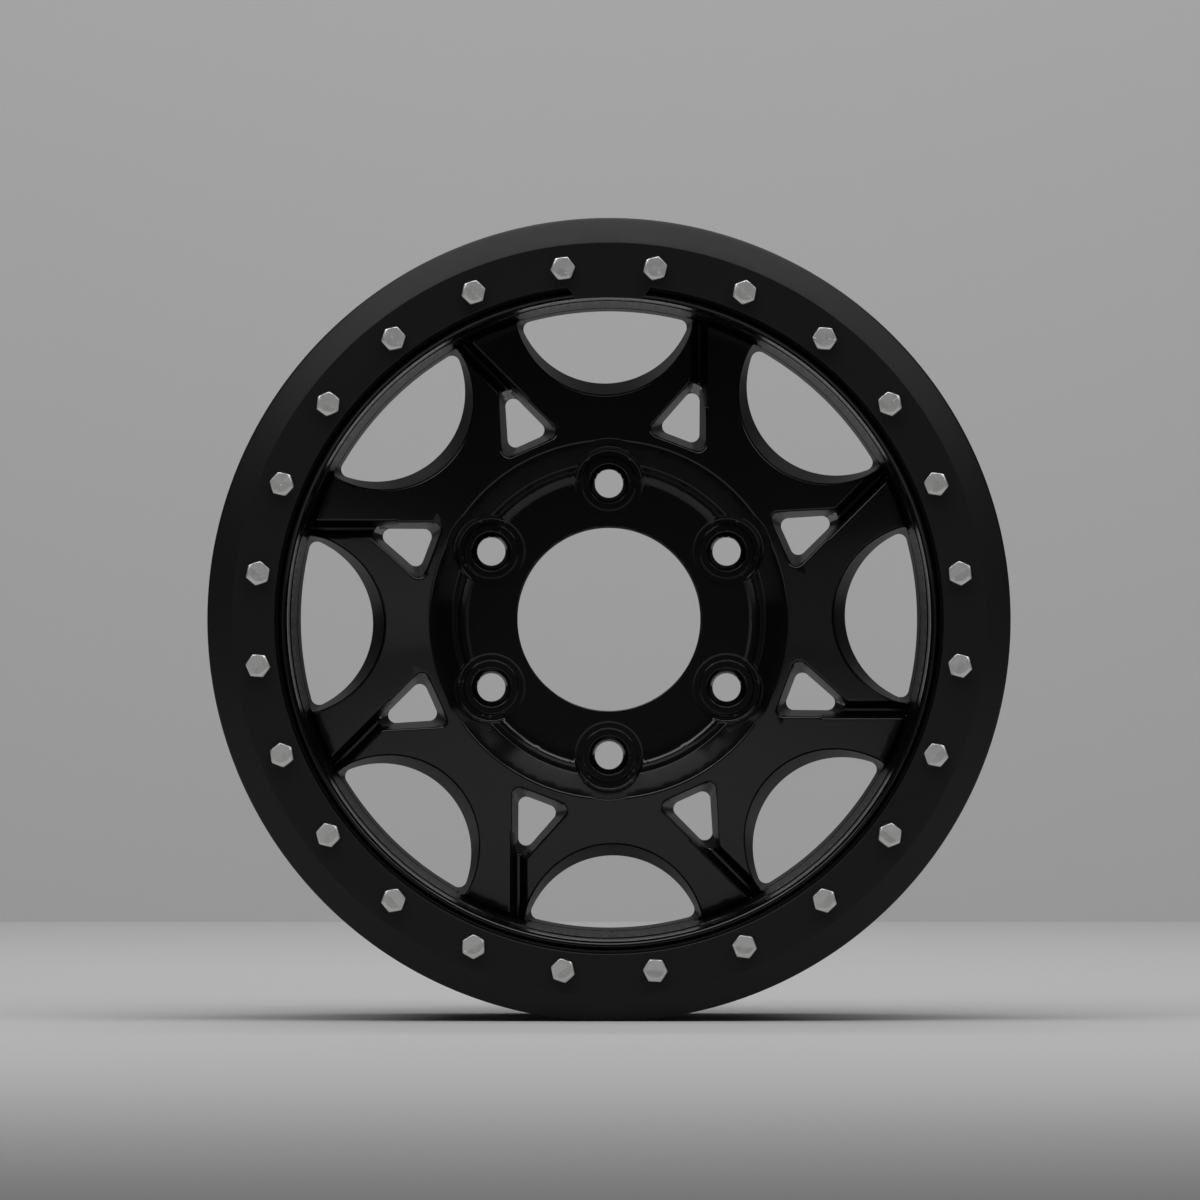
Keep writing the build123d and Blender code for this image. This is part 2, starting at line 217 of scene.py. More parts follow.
class RingSizes(bpy.types.PropertyGroup):
    """Clamp ring with its bevel and tab."""

    inner_radius: length("Ring inner radius", "Bore of the clamp ring", 0.171)
    bevel_radius: length("Bevel radius", "Where the ring's bevel starts", 0.1927)
    outer_radius: length("Ring outer radius", "Outer radius of the clamp ring", 0.2055)
    front_height: length("Ring front", "Front of the clamp ring", 0.0759)
    back_height: length("Ring back", "Back of the clamp ring", 0.0639)
    bevel_drop: length("Bevel drop", "Drop of the bevel at the ring's edge", 0.0065)
    edge_thickness: length("Edge thickness", "Thickness of the ring's edge", 0.003)
    seat_overhang: length("Seat overhang", "Ring's back face beyond the clamp face", 0.001)
    edge_round: length("Edge rounding", "Rounding of the ring's edges", 0.0006)
    tab_tip_radius: length("Tab tip radius", "Distance of the tab's tip from the axle", 0.1646)
    tab_root_half: length("Tab root", "Half the width of the tab at the bore", 0.022)
    tab_tip_half: length("Tab tip", "Half the width of the tab at its tip", 0.0169)
    tab_thickness: length("Tab thickness", "Thickness of the tab", 0.005)
    tab_corner: length("Tab corner", "Corner radius of the tab's tip", 0.0015)
    hole_radius: length("Ring hole", "Radius of a bolt hole in the ring", 0.0034)


class HardwareSizes(bpy.types.PropertyGroup):
    """Bolts and washers of the clamp ring."""

    bolt_count: IntProperty(name="Bolts", description="Number of ring bolts", default=24, min=3)
    circle_radius: length("Bolt circle", "Radius of the bolt circle", 0.181)
    seat_height: length("Bolt seat", "Height of the face that the heads sit on", 0.0771)
    head_flats: length("Head across flats", "Width of a head across its flats", 0.0111)
    head_height: length("Head height", "Height of a bolt head", 0.004)
    chamfer_radius: length("Chamfer radius", "Radius of the flat top of a head", 0.0051)
    step_depth: length("Step depth", "Depth of the ground step across a head", 0.00035)
    shank_radius: length("Shank radius", "Radius of a bolt's shank", 0.003175)
    shank_length: length("Shank length", "Length of a bolt's shank", 0.032)
    washer_radius: length("Washer radius", "Outer radius of a washer", 0.0062)
    washer_thickness: length("Washer thickness", "Thickness of a washer", 0.0012)


class FinishColours(bpy.types.PropertyGroup):
    """Colours and gloss of the finishes."""

    casting: colour("Casting", "Gloss black powder coat on the casting", (0.0030, 0.0030, 0.0032))
    casting_roughness: factor("Casting roughness", "Roughness of the gloss coat", 0.16)
    ring: colour("Ring", "Satin black coat on the clamp ring", (0.0050, 0.0050, 0.0052))
    ring_roughness: factor("Ring roughness", "Roughness of the satin coat", 0.42)
    zinc: colour("Zinc", "Bright zinc plate on the bolts", (0.78, 0.78, 0.77))
    zinc_roughness: factor("Zinc roughness", "Roughness of the zinc plate", 0.36)
    washer: colour("Washer", "Dark plate on the washers", (0.02, 0.02, 0.021))


class StageSettings(bpy.types.PropertyGroup):
    """Camera, floor and lamps."""

    camera_distance: length("Camera distance", "Camera to the front of the clamp ring", 10.0)
    camera_right: length("Camera right", "Camera to the right of the axle", -0.0046)
    camera_up: length("Camera up", "Camera above the axle", 0.0100)
    picture_width: IntProperty(name="Picture width", description="Pixels across the photograph", default=1200)
    focal_pixels: FloatProperty(name="Focal pixels", description="Focal length in pixels", default=19562.0)
    wall_distance: length("Wall distance", "Backdrop behind the ring's front", 3.1)
    floor_colour: colour("Floor", "Pale floor and backdrop", (0.50, 0.50, 0.50))
    world_level: factor("World level", "Brightness of the room round the object", 0.03)


# Shapes as distances, and the sections that are turned about the axle
def rounded_max(first, second, radius, cosine=0.0):
    """Distance to where two shapes overlap, their edge rounded, for faces that meet at that cosine."""
    p = first + radius
    q = second + radius
    gap = np.sqrt(np.maximum(p * p + q * q - 2 * cosine * p * q, 0) / (1 - cosine * cosine))
    edge = (p > cosine * q) & (q > cosine * p)
    return np.where(edge, gap - radius, np.maximum(first, second))


def rounded_min(first, second, radius):
    """Distance to two shapes joined with a fillet between them."""
    return -rounded_max(-first, -second, radius)


def rounded_profile(corners, steps):
    """Points and outward normals along an outline of (radius, height, rounding)."""
    points = []
    normals = []
    for index, (r, h, rounding) in enumerate(corners):
        here = np.array((r, h))
        if index in (0, len(corners) - 1):
            other = np.array(corners[1 if index == 0 else -2][:2])
            along = (other - here) if index == 0 else (here - other)
            along = along / np.linalg.norm(along)
            points.append(here)
            normals.append(np.array((-along[1], along[0])))
            continue
        before = here - np.array(corners[index - 1][:2])
        after = np.array(corners[index + 1][:2]) - here
        before = before / np.linalg.norm(before)
        after = after / np.linalg.norm(after)
        normal_in = np.array((-before[1], before[0]))
        turn = math.atan2(before[0] * after[1] - before[1] * after[0], before @ after)
        start = here - before * rounding * math.tan(abs(turn) / 2)
        side = 1 if turn > 0 else -1
        centre = start + normal_in * rounding * side
        arc_steps = max(2, math.ceil(abs(turn) / math.radians(90 / steps)))
        for step in range(arc_steps + 1):
            bend = turn * step / arc_steps
            normal = normal_in * math.cos(bend) + np.array((-normal_in[1], normal_in[0])) * math.sin(bend)
            points.append(centre - normal * rounding * side)
            normals.append(normal)
    return np.array(points), np.array(normals)


class Profile:
    """Height and slope of a turned surface as functions of the radius."""

    def __init__(self, corners):
        self.points, self.normals = rounded_profile(corners, 8)
        self.radii = np.maximum.accumulate(self.points[:, 0]) + np.arange(len(self.points)) * 1e-9
        self.heights = self.points[:, 1]
        self.slopes = np.maximum(self.normals[:, 1], 0.02)
        coarse, _ = rounded_profile(corners, 4)
        self.rings = np.unique(np.round(coarse[:, 0], 6))

    def distance(self, r, h):
        """Rough distance above the surface, exact where the surface lies."""
        return (h - np.interp(r, self.radii, self.heights)) * np.interp(r, self.radii, self.slopes)

    def rows(self, low, high):
        """Radii at which the surface bends, between two limits."""
        inside = (self.rings > low + 1e-4) & (self.rings < high - 1e-4)
        return self.rings[inside]


def turned(u, v, turn):
    """Coordinates in a frame turned clockwise by an angle."""
    c, s = math.cos(turn), math.sin(turn)
    return u * c - v * s, u * s + v * c


def folded(u, v, sector, start):
    """Coordinates brought by whole sectors into the first one, and the turn that did it."""
    bearing = np.arctan2(u, v) - start
    turns = np.floor(bearing / sector + 1e-9) * sector
    c, s = np.cos(turns), np.sin(turns)
    return u * c - v * s, u * s + v * c, turns


class SpokeForm:
    """Surfaces of one spoke sector, between the middles of two windows."""

    def __init__(self, spokes, rim):
        self.s = spokes
        self.sector = FULL_TURN / spokes.spoke_count
        self.face_slope = (spokes.face_outer_height - spokes.face_inner_height) / (
            spokes.face_outer_radius - spokes.face_inner_radius
        )
        start_radius = 0.085
        self.front = Profile(
            [
                (start_radius, self.face_height(start_radius), 0),
                (spokes.face_outer_radius, spokes.face_outer_height, spokes.end_round),
                (rim.valley_radius - 0.00025, rim.valley_height, 0.0002),
                (rim.valley_radius + 0.00025, rim.valley_height, 0.0002),
                (rim.lip_foot_radius, rim.lip_foot_height - 0.00085, 0.0004),
                (rim.lip_ledge_radius, rim.lip_foot_height, 0.0004),
                (rim.lip_inner_radius, rim.lip_height - 0.0024, 0),
            ]
        )
        barrel_inner = rim.well_radius - rim.barrel_wall
        self.rear = Profile(
            [
                (0.0865, -0.0025 / 0.012 * spokes.rear_inner_height, 0),
                (0.096, -spokes.rear_inner_height, 0.003),
                (
                    barrel_inner - spokes.rear_corner_width,
                    -spokes.rear_outer_height - spokes.rear_corner_drop,
                    0.0015,
                ),
                (barrel_inner, -spokes.rear_outer_height, 0),
            ]
        )
        self.window_centre = spokes.window_outer_radius + spokes.window_arc_inset
        self.window_reach = rim.lip_foot_height - spokes.parting_height
        self.triangle_turn = spokes.triangle_angle - spokes.window_lean

    def face_height(self, r):
        """Height of the spoke face at a radius."""
        return self.s.face_inner_height + (r - self.s.face_inner_radius) * self.face_slope

    def one_window(self, u, v, rise):
        """Distance outside a window whose upright is v, at a rise above the parting height."""
        s = self.s
        w = v - self.window_centre
        along = rise * math.cos(s.window_tilt) - w * math.sin(s.window_tilt)
        across = np.sqrt(np.maximum(u * u + rise * rise + w * w - along * along, 0))
        inner = (across - s.window_arc_radius - along * math.tan(s.window_draft)) * math.cos(s.window_draft)
        r = np.hypot(u, v)
        outer = (r - s.window_outer_radius - rise * math.tan(s.window_outer_draft)) * math.cos(
            s.window_outer_draft
        )
        cosine = (u * u + v * w) / np.maximum(r * np.hypot(u, w), 1e-9)
        return rounded_max(inner, outer, s.window_corner, np.clip(cosine, -0.95, 0.95))

    def windows(self, u, v, rise):
        """Distance outside the windows at both ends of the sector."""
        far_u, far_v = turned(u, v, self.sector)
        return np.minimum(self.one_window(u, v, rise), self.one_window(far_u, far_v, rise))

    def triangle(self, u, v, rise):
        """Distance outside the triangular hole."""
        s = self.s
        a, b = turned(u, v, self.triangle_turn)
        b = b - s.triangle_radius
        size = s.triangle_inradius + rise * math.tan(s.triangle_draft)
        sin_half, cos_half = math.sin(s.triangle_half_apex), math.cos(s.triangle_half_apex)
        right = a * cos_half + b * sin_half - size
        left = -a * cos_half + b * sin_half - size
        sides = rounded_max(right, left, s.triangle_corner, sin_half**2 - cos_half**2)
        base = -b - size
        whole = rounded_max(sides, base, s.triangle_corner, -sin_half)
        return whole * math.cos(s.triangle_draft)

    def groove(self, u, v, h):
        """Distance outside the groove."""
        s = self.s
        x, z = turned(u, v, -s.window_lean)
        r = np.hypot(u, v)
        floor = self.face_height(r) - s.groove_depth
        spread = (s.groove_half_mouth - s.groove_half_floor) / s.groove_depth
        half = s.groove_half_floor + (h - floor) * spread
        walls = (np.abs(x - s.groove_offset) - half) / math.hypot(1, spread)
        channel = rounded_max(walls, floor - h, 0.0007, -0.2)
        start = s.triangle_radius * math.cos(s.triangle_angle) + s.triangle_inradius
        ends = np.maximum(start - z, r - s.face_outer_radius - 0.0008)
        return np.maximum(channel, ends)

    def front_shape(self, u, v, h):
        """Distance outside the front of the spokes."""
        s = self.s
        rise = h - s.parting_height
        shape = self.front.distance(np.hypot(u, v), h)
        shape = rounded_max(shape, -self.groove(u, v, h), s.groove_round)
        shape = rounded_max(shape, -self.triangle(u, v, rise), s.mouth_round)
        rise = np.minimum(rise, self.window_reach)
        near_lip = (0.1598, 0.1616)
        rounding = np.interp(np.hypot(u, v), near_lip, (s.mouth_round, 0.0004))
        return rounded_max(shape, -self.windows(u, v, rise), rounding)

    def rear_shape(self, u, v, h):
        """Distance outside the back of the spokes, with height measured to the rear."""
        s = self.s
        shape = self.rear.distance(np.hypot(u, v), h)
        flat = np.zeros_like(u)
        shape = rounded_max(shape, -self.triangle(u, v, flat), s.rear_round)
        return rounded_max(shape, -self.windows(u, v, flat), s.rear_round)


class HubForm:
    """Surfaces of one stud's sector of the hub."""

    def __init__(self, hub, spoke_form):
        self.h = hub
        self.sector = FULL_TURN / hub.stud_count
        spokes = spoke_form.s
        curve_width = hub.pad_curve_radius - hub.pad_flat_radius
        curve_radius = (curve_width**2 + hub.pad_curve_rise**2) / (2 * hub.pad_curve_rise)
        curve = []
        for step in range(1, 7):
            bend = math.asin(curve_width / curve_radius) * step / 6
            curve.append(
                (
                    hub.pad_flat_radius + curve_radius * math.sin(bend),
                    hub.pad_height + curve_radius * (1 - math.cos(bend)),
                    0.0004 if step == 6 else 0.0002,
                )
            )
        ledge_height = hub.pad_height + hub.pad_curve_rise + hub.ledge_rise
        end_radius = 0.1
        self.front = Profile(
            [(hub.bore_radius - 0.0008, hub.pad_height, 0), (hub.pad_flat_radius, hub.pad_height, 0.001)]
            + curve
            + [
                (hub.pad_curve_radius + 0.00015, ledge_height, 0.0003),
                (hub.ledge_radius, ledge_height, 0.0009),
                (spokes.face_inner_radius, spokes.face_inner_height, 0.0014),
                (end_radius, spoke_form.face_height(end_radius), 0),
            ]
        )
        self.rear = Profile(
            [
                (hub.bore_radius - 0.0008, 0, 0),
                (hub.mounting_radius, 0, 0.0010),
                (hub.mounting_radius + hub.mounting_rim, -spokes.rear_inner_height, 0),
            ]
        )
        self.edge_round = 0.0008
        self.hole_round = 0.0005
        self.seat_depth = (hub.seat_radius - hub.stud_hole_radius) / math.tan(hub.seat_angle / 2)

    def stud(self, u, v):
        """Distance from the nearest stud's axis."""
        a, b, _ = folded(u, v, self.sector, -self.sector / 2)
        return np.hypot(a, b - self.h.stud_circle_radius)

    def front_shape(self, u, v, h):
        """Distance outside the front of the hub."""
        hub = self.h
        stud = self.stud(u, v)
        shape = self.front.distance(np.hypot(u, v), h)
        relief_wall = hub.relief_radius + (h - hub.pad_height) * math.tan(hub.relief_draft)
        relief = (stud - relief_wall) * math.cos(hub.relief_draft)
        relief = rounded_max(relief, hub.pad_height - h, 0.0008)
        shape = rounded_max(shape, -relief, 0.0005)
        boss_top = hub.pad_height + hub.boss_rise
        boss = rounded_max(stud - hub.boss_radius + (h - hub.pad_height) * 0.12, h - boss_top, 0.0004)
        shape = rounded_min(shape, boss, 0.00025)
        spread = math.tan(hub.seat_angle / 2)
        seat = (stud - hub.seat_radius - (h - boss_top) * spread) * math.cos(hub.seat_angle / 2)
        seat = np.minimum(seat, stud - hub.stud_hole_radius)
        shape = rounded_max(shape, -seat, 0.0003)
        bore = (hub.bore_radius - np.hypot(u, v)).astype(float)
        return rounded_max(shape, bore, self.edge_round)

    def rear_shape(self, u, v, h):
        """Distance outside the mounting face, with height measured to the rear."""
        hub = self.h
        r = np.hypot(u, v)
        shape = self.rear.distance(r, h)
        a, b, _ = folded(u, v, self.sector, 0.0)
        a, b = turned(a, b, self.sector / 2)
        flat = np.abs(a) * math.cos(hub.pocket_half_angle) - b * math.sin(hub.pocket_half_angle)
        band = np.maximum(hub.pocket_inner - r, r - hub.pocket_outer)
        pocket = rounded_max(band, flat, hub.pocket_corner)
        pocket = pocket - (h + hub.pocket_depth) * math.tan(math.radians(3))
        pocket = rounded_max(pocket, -hub.pocket_depth - h, 0.002)
        shape = rounded_max(shape, -pocket, 0.0008)
        shape = rounded_max(shape, hub.stud_hole_radius - self.stud(u, v), self.hole_round)
        return rounded_max(shape, hub.bore_radius - r, self.edge_round)


# Relief patches: a plan of triangles raised to the surface of a shape
def surface_height(shape, u, v, low, high):
    """Height of a shape's surface over each point, found by halving."""
    lows = np.full(len(u), low)
    highs = np.full(len(u), high)
    for _ in range(ROOT_STEPS):
        middle = (lows + highs) / 2
        inside = shape(u, v, middle) < 0
        lows = np.where(inside, middle, lows)
        highs = np.where(inside, highs, middle)
    return lows


def surface_normal(shape, u, v, h):
    """Unit normal of a shape at points on its surface."""
    e = NORMAL_STEP
    n = np.stack(
        [
            shape(u + e, v, h) - shape(u - e, v, h),
            shape(u, v + e, h) - shape(u, v - e, h),
            shape(u, v, h + e) - shape(u, v, h - e),
        ],
        axis=1,
    )
    return n / np.maximum(np.linalg.norm(n, axis=1, keepdims=True), 1e-12)


def ray_rows(shape, starts, directions, reach, low, high, spacing=1.0, part=19):
    """Points along rays, at the start and end of each bend and a few within it."""
    share = np.linspace(0, 1, RAY_SAMPLES)
    reach = np.broadcast_to(reach, (len(starts),))
    away = 2e-5 + share[None, :] * reach[:, None]
    u = (starts[:, :1] + directions[:, :1] * away).ravel()
    v = (starts[:, 1:] + directions[:, 1:] * away).ravel()
    h = surface_height(shape, u, v, low, high)
    n = surface_normal(shape, u, v, h).reshape(len(starts), RAY_SAMPLES, 3)
    bend = np.arccos(np.clip((n[:, 1:] * n[:, :-1]).sum(axis=2), -1, 1))
    gentlest = math.radians(0.12)
    bend_per_metre = math.radians(5) / 0.001
    sharp = bend > np.maximum(gentlest, reach[:, None] / RAY_SAMPLES * bend_per_metre)
    narrowest = 0.00011
    rows = []
    for ray in range(len(starts)):
        stops = []
        marks = np.flatnonzero(np.diff(np.concatenate([[0], sharp[ray].astype(int), [0]])))
        for first, last in zip(marks[::2], marks[1::2]):
            turning = np.concatenate([[0], np.cumsum(bend[ray, first:last])])
            width = away[ray, last] - away[ray, first]
            parts = max(1, min(math.ceil(turning[-1] / math.radians(part)), int(width / narrowest)))
            wanted = np.linspace(0, turning[-1], parts + 1)
            stops += list(np.interp(wanted, turning, away[ray, first : last + 1]))
        stops = [0.0] + stops + [away[ray, -1]]
        filled = []
        for near, far in zip(stops[:-1], stops[1:]):
            filled.append(far)
            pieces = math.ceil((far - near) / spacing)
            filled += [near + (far - near) * k / pieces for k in range(1, pieces)]
        rows.append(starts[ray] + directions[ray] * np.array(sorted(filled))[:, None])
    return rows


def gathered(families):
    """All points of some families of rays, and the segments that join like points of neighbours."""
    links = []
    for rays in families:
        for one, other in zip(rays, rays[1:]):
            if len(one) == len(other):
                links.append(np.stack([one, other], axis=1))
    return np.concatenate([ray for rays in families for ray in rays]), np.concatenate(links)


def resampled(points, count, closed):
    """Points spread along a dense line by its length and its turning."""
    if closed:
        points = np.concatenate([points, points[:1]])
    steps = np.diff(points, axis=0)
    lengths = np.linalg.norm(steps, axis=1)
    bearing = np.unwrap(np.arctan2(steps[:, 1], steps[:, 0]))
    turning = np.abs(np.gradient(bearing))
    corner_weight = 0.75
    weight = lengths / lengths.sum() + turning / max(turning.sum(), 1e-9) * corner_weight
    total = np.concatenate([[0], np.cumsum(weight)])
    wanted = np.linspace(0, total[-1], count + 1)
    if closed:
        wanted = wanted[:-1]
    return np.stack([np.interp(wanted, total, points[:, i]) for i in (0, 1)], axis=1)


def traced(outside, centre, bearings, reach):
    """Edge of a hole seen from a point inside it, along each bearing."""
    low = np.zeros(len(bearings))
    high = np.full(len(bearings), reach)
    du, dv = np.sin(bearings), np.cos(bearings)
    for _ in range(ROOT_STEPS):
        middle = (low + high) / 2
        inside = outside(centre[0] + du * middle, centre[1] + dv * middle) < 0
        low = np.where(inside, middle, low)
        high = np.where(inside, high, middle)
    return np.stack([centre[0] + du * low, centre[1] + dv * low], axis=1)


def outward(outside, points):
    """Unit directions in the plane that lead straight out of a hole."""
    e = NORMAL_STEP
    u, v = points[:, 0], points[:, 1]
    across = outside(u + e, v) - outside(u - e, v)
    d = np.stack([across, outside(u, v + e) - outside(u, v - e)], axis=1)
    return d / np.linalg.norm(d, axis=1, keepdims=True)


def in_loop(points, loop):
    """Which points lie inside a closed loop."""
    x, y = points[:, 0], points[:, 1]
    inside = np.zeros(len(points), dtype=bool)
    following = np.roll(loop, -1, axis=0)
    for (x0, y0), (x1, y1) in zip(loop, following):
        if y0 == y1:
            continue
        crosses = (y0 > y) != (y1 > y)
        inside ^= crosses & (x < (x1 - x0) * (y - y0) / (y1 - y0) + x0)
    return inside


def thinned(points, kept, gap):
    """New points that keep a gap from those kept and from each other."""
    cells = {}
    chosen = []

    def near(p):
        cx, cy = int(p[0] // gap), int(p[1] // gap)
        for i in (cx - 1, cx, cx + 1):
            for j in (cy - 1, cy, cy + 1):
                for q in cells.get((i, j), ()):
                    if (q[0] - p[0]) ** 2 + (q[1] - p[1]) ** 2 < gap * gap:
                        return True
        return False

    for p in kept:
        cells.setdefault((int(p[0] // gap), int(p[1] // gap)), []).append(p)
    for p in points:
        if not near(p):
            cells.setdefault((int(p[0] // gap), int(p[1] // gap)), []).append(p)
            chosen.append(p)
    return np.array(chosen).reshape(-1, 2)


def plan_area(points, triangles):
    """Twice the area of each triangle in the plan, negative if it runs clockwise."""
    a, b, c = (points[triangles[:, i]] for i in range(3))
    return (b[:, 0] - a[:, 0]) * (c[:, 1] - a[:, 1]) - (b[:, 1] - a[:, 1]) * (c[:, 0] - a[:, 0])


def clear_of(points, loop, gap):
    """Which points keep a gap from every edge of a closed loop."""
    clear = np.ones(len(points), dtype=bool)
    following = np.roll(loop, -1, axis=0)
    for first, second in zip(loop, following):
        along = second - first
        share = np.clip(((points - first) @ along) / max(along @ along, 1e-18), 0, 1)
        away = points - first - share[:, None] * along
        clear &= (away * away).sum(axis=1) > gap * gap
    return clear


def relief_mesh(
    shape, outer, outer_heights, holes, hole_heights, seeds, links, low, high, rounds, tightness
):
    """Triangles over a plan, raised to a shape's surface and refined where it bends."""
    loops = [outer] + holes
    fixed = np.concatenate(loops)
    fixed_heights = np.concatenate([outer_heights] + hole_heights)
    edges = []
    start = 0
    for loop in loops:
        n = len(loop)
        edges += [(start + i, start + (i + 1) % n) for i in range(n)]
        start += n
    inside = in_loop(seeds, outer)
    for hole in holes:
        inside &= ~in_loop(seeds, hole)
    for loop in loops:
        inside &= clear_of(seeds, loop, BORDER_GAP)
    seeds = thinned(seeds[inside], fixed, POINT_GAP)
    points = np.concatenate([fixed, seeds])
    seed_heights = surface_height(shape, seeds[:, 0], seeds[:, 1], low, high)
    heights = np.concatenate([fixed_heights, seed_heights])
    normals = surface_normal(shape, points[:, 0], points[:, 1], heights)
    edges = clean_links(points, edges, links)
    seen = set()
    for turn in range(rounds + 1):
        result = delaunay_2d_cdt([tuple(p * MILLIMETRES) for p in points], edges, [], 0, PLAN_SLACK)
        source = [origin[0] if origin else -1 for origin in result[3]]
        triangles = np.array([[source[i] for i in face] for face in result[2]])
        centres = points[triangles].mean(axis=1)
        kept = in_loop(centres, outer)
        for hole in holes:
            kept &= ~in_loop(centres, hole)
        kept &= np.abs(plan_area(points, triangles)) > SMALLEST_AREA
        triangles = triangles[kept & (triangles.min(axis=1) >= 0)]
        if turn == rounds:
            break
        sides = [triangles[:, side] for side in ((0, 1), (1, 2), (2, 0))]
        pairs = np.unique(np.sort(np.concatenate(sides), axis=1), axis=0)
        fresh = [p for p in map(tuple, pairs) if p not in seen and max(p) >= len(fixed)]
        seen.update(fresh)
        if not fresh:
            break
        pairs = np.array(fresh)
        a, b = pairs[:, 0], pairs[:, 1]
        middle = (points[a] + points[b]) / 2
        height = surface_height(shape, middle[:, 0], middle[:, 1], low, high)
        normal = surface_normal(shape, middle[:, 0], middle[:, 1], height)
        flat = np.linalg.norm(points[a] - points[b], axis=1)
        size = np.hypot(flat, heights[a] - heights[b])
        miss = np.abs(shape(middle[:, 0], middle[:, 1], (heights[a] + heights[b]) / 2))
        mean = normals[a] + normals[b]
        mean = mean / np.maximum(np.linalg.norm(mean, axis=1, keepdims=True), 1e-9)
        swing = np.arccos(np.clip((mean * normal).sum(axis=1), -1, 1))
        split = ((miss > SURFACE_MISS * tightness) & (size > MISS_EDGE)) | (
            (swing > NORMAL_SWING * tightness) & (size > SWING_EDGE * tightness)
        )
        split &= flat > SMALLEST_EDGE
        if not split.any():
            break
        halves = {tuple(pair): len(points) + i for i, pair in enumerate(pairs[split].tolist())}
        whole = [(edge, halves.get((min(edge), max(edge)))) for edge in edges]
        edges = [edge for edge, half in whole if half is None]
        edges += [(end, half) for edge, half in whole if half is not None for end in edge]
        points = np.concatenate([points, middle[split]])
        heights = np.concatenate([heights, height[split]])
        normals = np.concatenate([normals, normal[split]])
    area = plan_area(points, triangles)
    triangles[area < 0] = triangles[area < 0][:, ::-1]
    return points, heights, triangles


def grid_seeds(low, high, spacing):
    """Staggered points over a rectangle, for the flat parts of a plan."""
    rows = []
    step_v = spacing * math.sqrt(3) / 2
    for j, v in enumerate(np.arange(low[1], high[1], step_v)):
        start = low[0] + (spacing / 2 if j % 2 else 0)
        rows += [(u, v) for u in np.arange(start, high[0], spacing)]
    return np.array(rows)


def ring_rows(radii, first, last, step):
    """Points on circles about the axle, one array to a bearing."""
    bearings = np.arange(first, last + step / 2, step)
    return [np.stack([radii * math.sin(b), radii * math.cos(b)], axis=1) for b in bearings]


def side_of(offsets, along):
    """On which side of a direction some offsets lie, positive to its right."""
    return offsets[..., 0] * along[..., 1] - offsets[..., 1] * along[..., 0]


def clean_links(points, borders, links):
    """Index pairs of the links that cross nothing and pass no other point closely."""
    place = {(round(u * 1e8), round(v * 1e8)): i for i, (u, v) in enumerate(points)}
    kept = [tuple(pair) for pair in borders]
    first = np.array([points[a] for a, b in kept])
    second = np.array([points[b] for a, b in kept])
    for start, end in links:
        a, b = (place.get((round(u * 1e8), round(v * 1e8))) for u, v in (start, end))
        if a is None or b is None or a == b:
            continue
        along = end - start
        size = max(along @ along, 1e-18)
        share = ((points - start) @ along) / size
        away = np.abs(side_of(points - start, along)) / math.sqrt(size)
        close = (share > 0) & (share < 1) & (away < LINK_GAP)
        close[[a, b]] = False
        if close.any():
            continue
        other = second - first
        apart = side_of(first - start, along) * side_of(second - start, along)
        across = side_of(start - first, other) * side_of(end - first, other)
        if ((apart < -CROSSING) & (across < -CROSSING)).any():
            continue
        kept.append((a, b))
        first = np.concatenate([first, start[None]])
        second = np.concatenate([second, end[None]])
    return kept


class MeshParts:
    """Vertices and faces gathered from several patches."""

    def __init__(self):
        self.vertices = []
        self.faces = []
        self.regions = []
        self.count = 0

    def add(self, points, faces, region):
        """Adds vertices in metres and faces that count from the first of them."""
        self.vertices.append(np.asarray(points, dtype=float))
        start = self.count
        self.faces += [tuple(start + int(i) for i in face) for face in faces]
        self.regions += [region] * len(faces)
        self.count += len(points)

    def add_relief(self, points, heights, triangles, region, facing_rear=False):
        """Adds a patch that faces the viewer or the rear."""
        sign = 1 if facing_rear else -1
        solid = np.stack([points[:, 0], sign * heights, points[:, 1]], axis=1)
        self.add(solid, triangles[:, ::-1] if facing_rear else triangles, region)

    def add_wall(self, loop, front_heights, back_heights, region, closed):
        """Adds a wall along a loop that runs clockwise as the viewer sees the hole."""
        n = len(loop)
        front = np.stack([loop[:, 0], -front_heights, loop[:, 1]], axis=1)
        back = np.stack([loop[:, 0], -back_heights, loop[:, 1]], axis=1)
        steps = range(n if closed else n - 1)
        faces = [(i, (i + 1) % n, n + (i + 1) % n, n + i) for i in steps]
        self.add(np.concatenate([front, back]), faces, region)

    def mesh(self, name):
        """Mesh with a region number on each face and its near doubles merged."""
        mesh = bpy.data.meshes.new(name)
        mesh.from_pydata([tuple(p) for p in np.concatenate(self.vertices)], [], self.faces)
        mesh.attributes.new("region", "INT", "FACE").data.foreach_set("value", self.regions)
        form = bmesh.new()
        form.from_mesh(mesh)
        bmesh.ops.remove_doubles(form, verts=form.verts, dist=2 * MICRON)
        form.to_mesh(mesh)
        form.free()
        return mesh


# Meshes of the casting's patches
def circle_points(radius, bearings):
    """Points on a circle about the axle at some bearings, clockwise from the top."""
    return np.stack([radius * np.sin(bearings), radius * np.cos(bearings)], axis=1)


def moved(points, turn):
    """Points turned clockwise about the axle."""
    u, v = turned(points[:, 0], points[:, 1], -turn)
    return np.stack([u, v], axis=1)


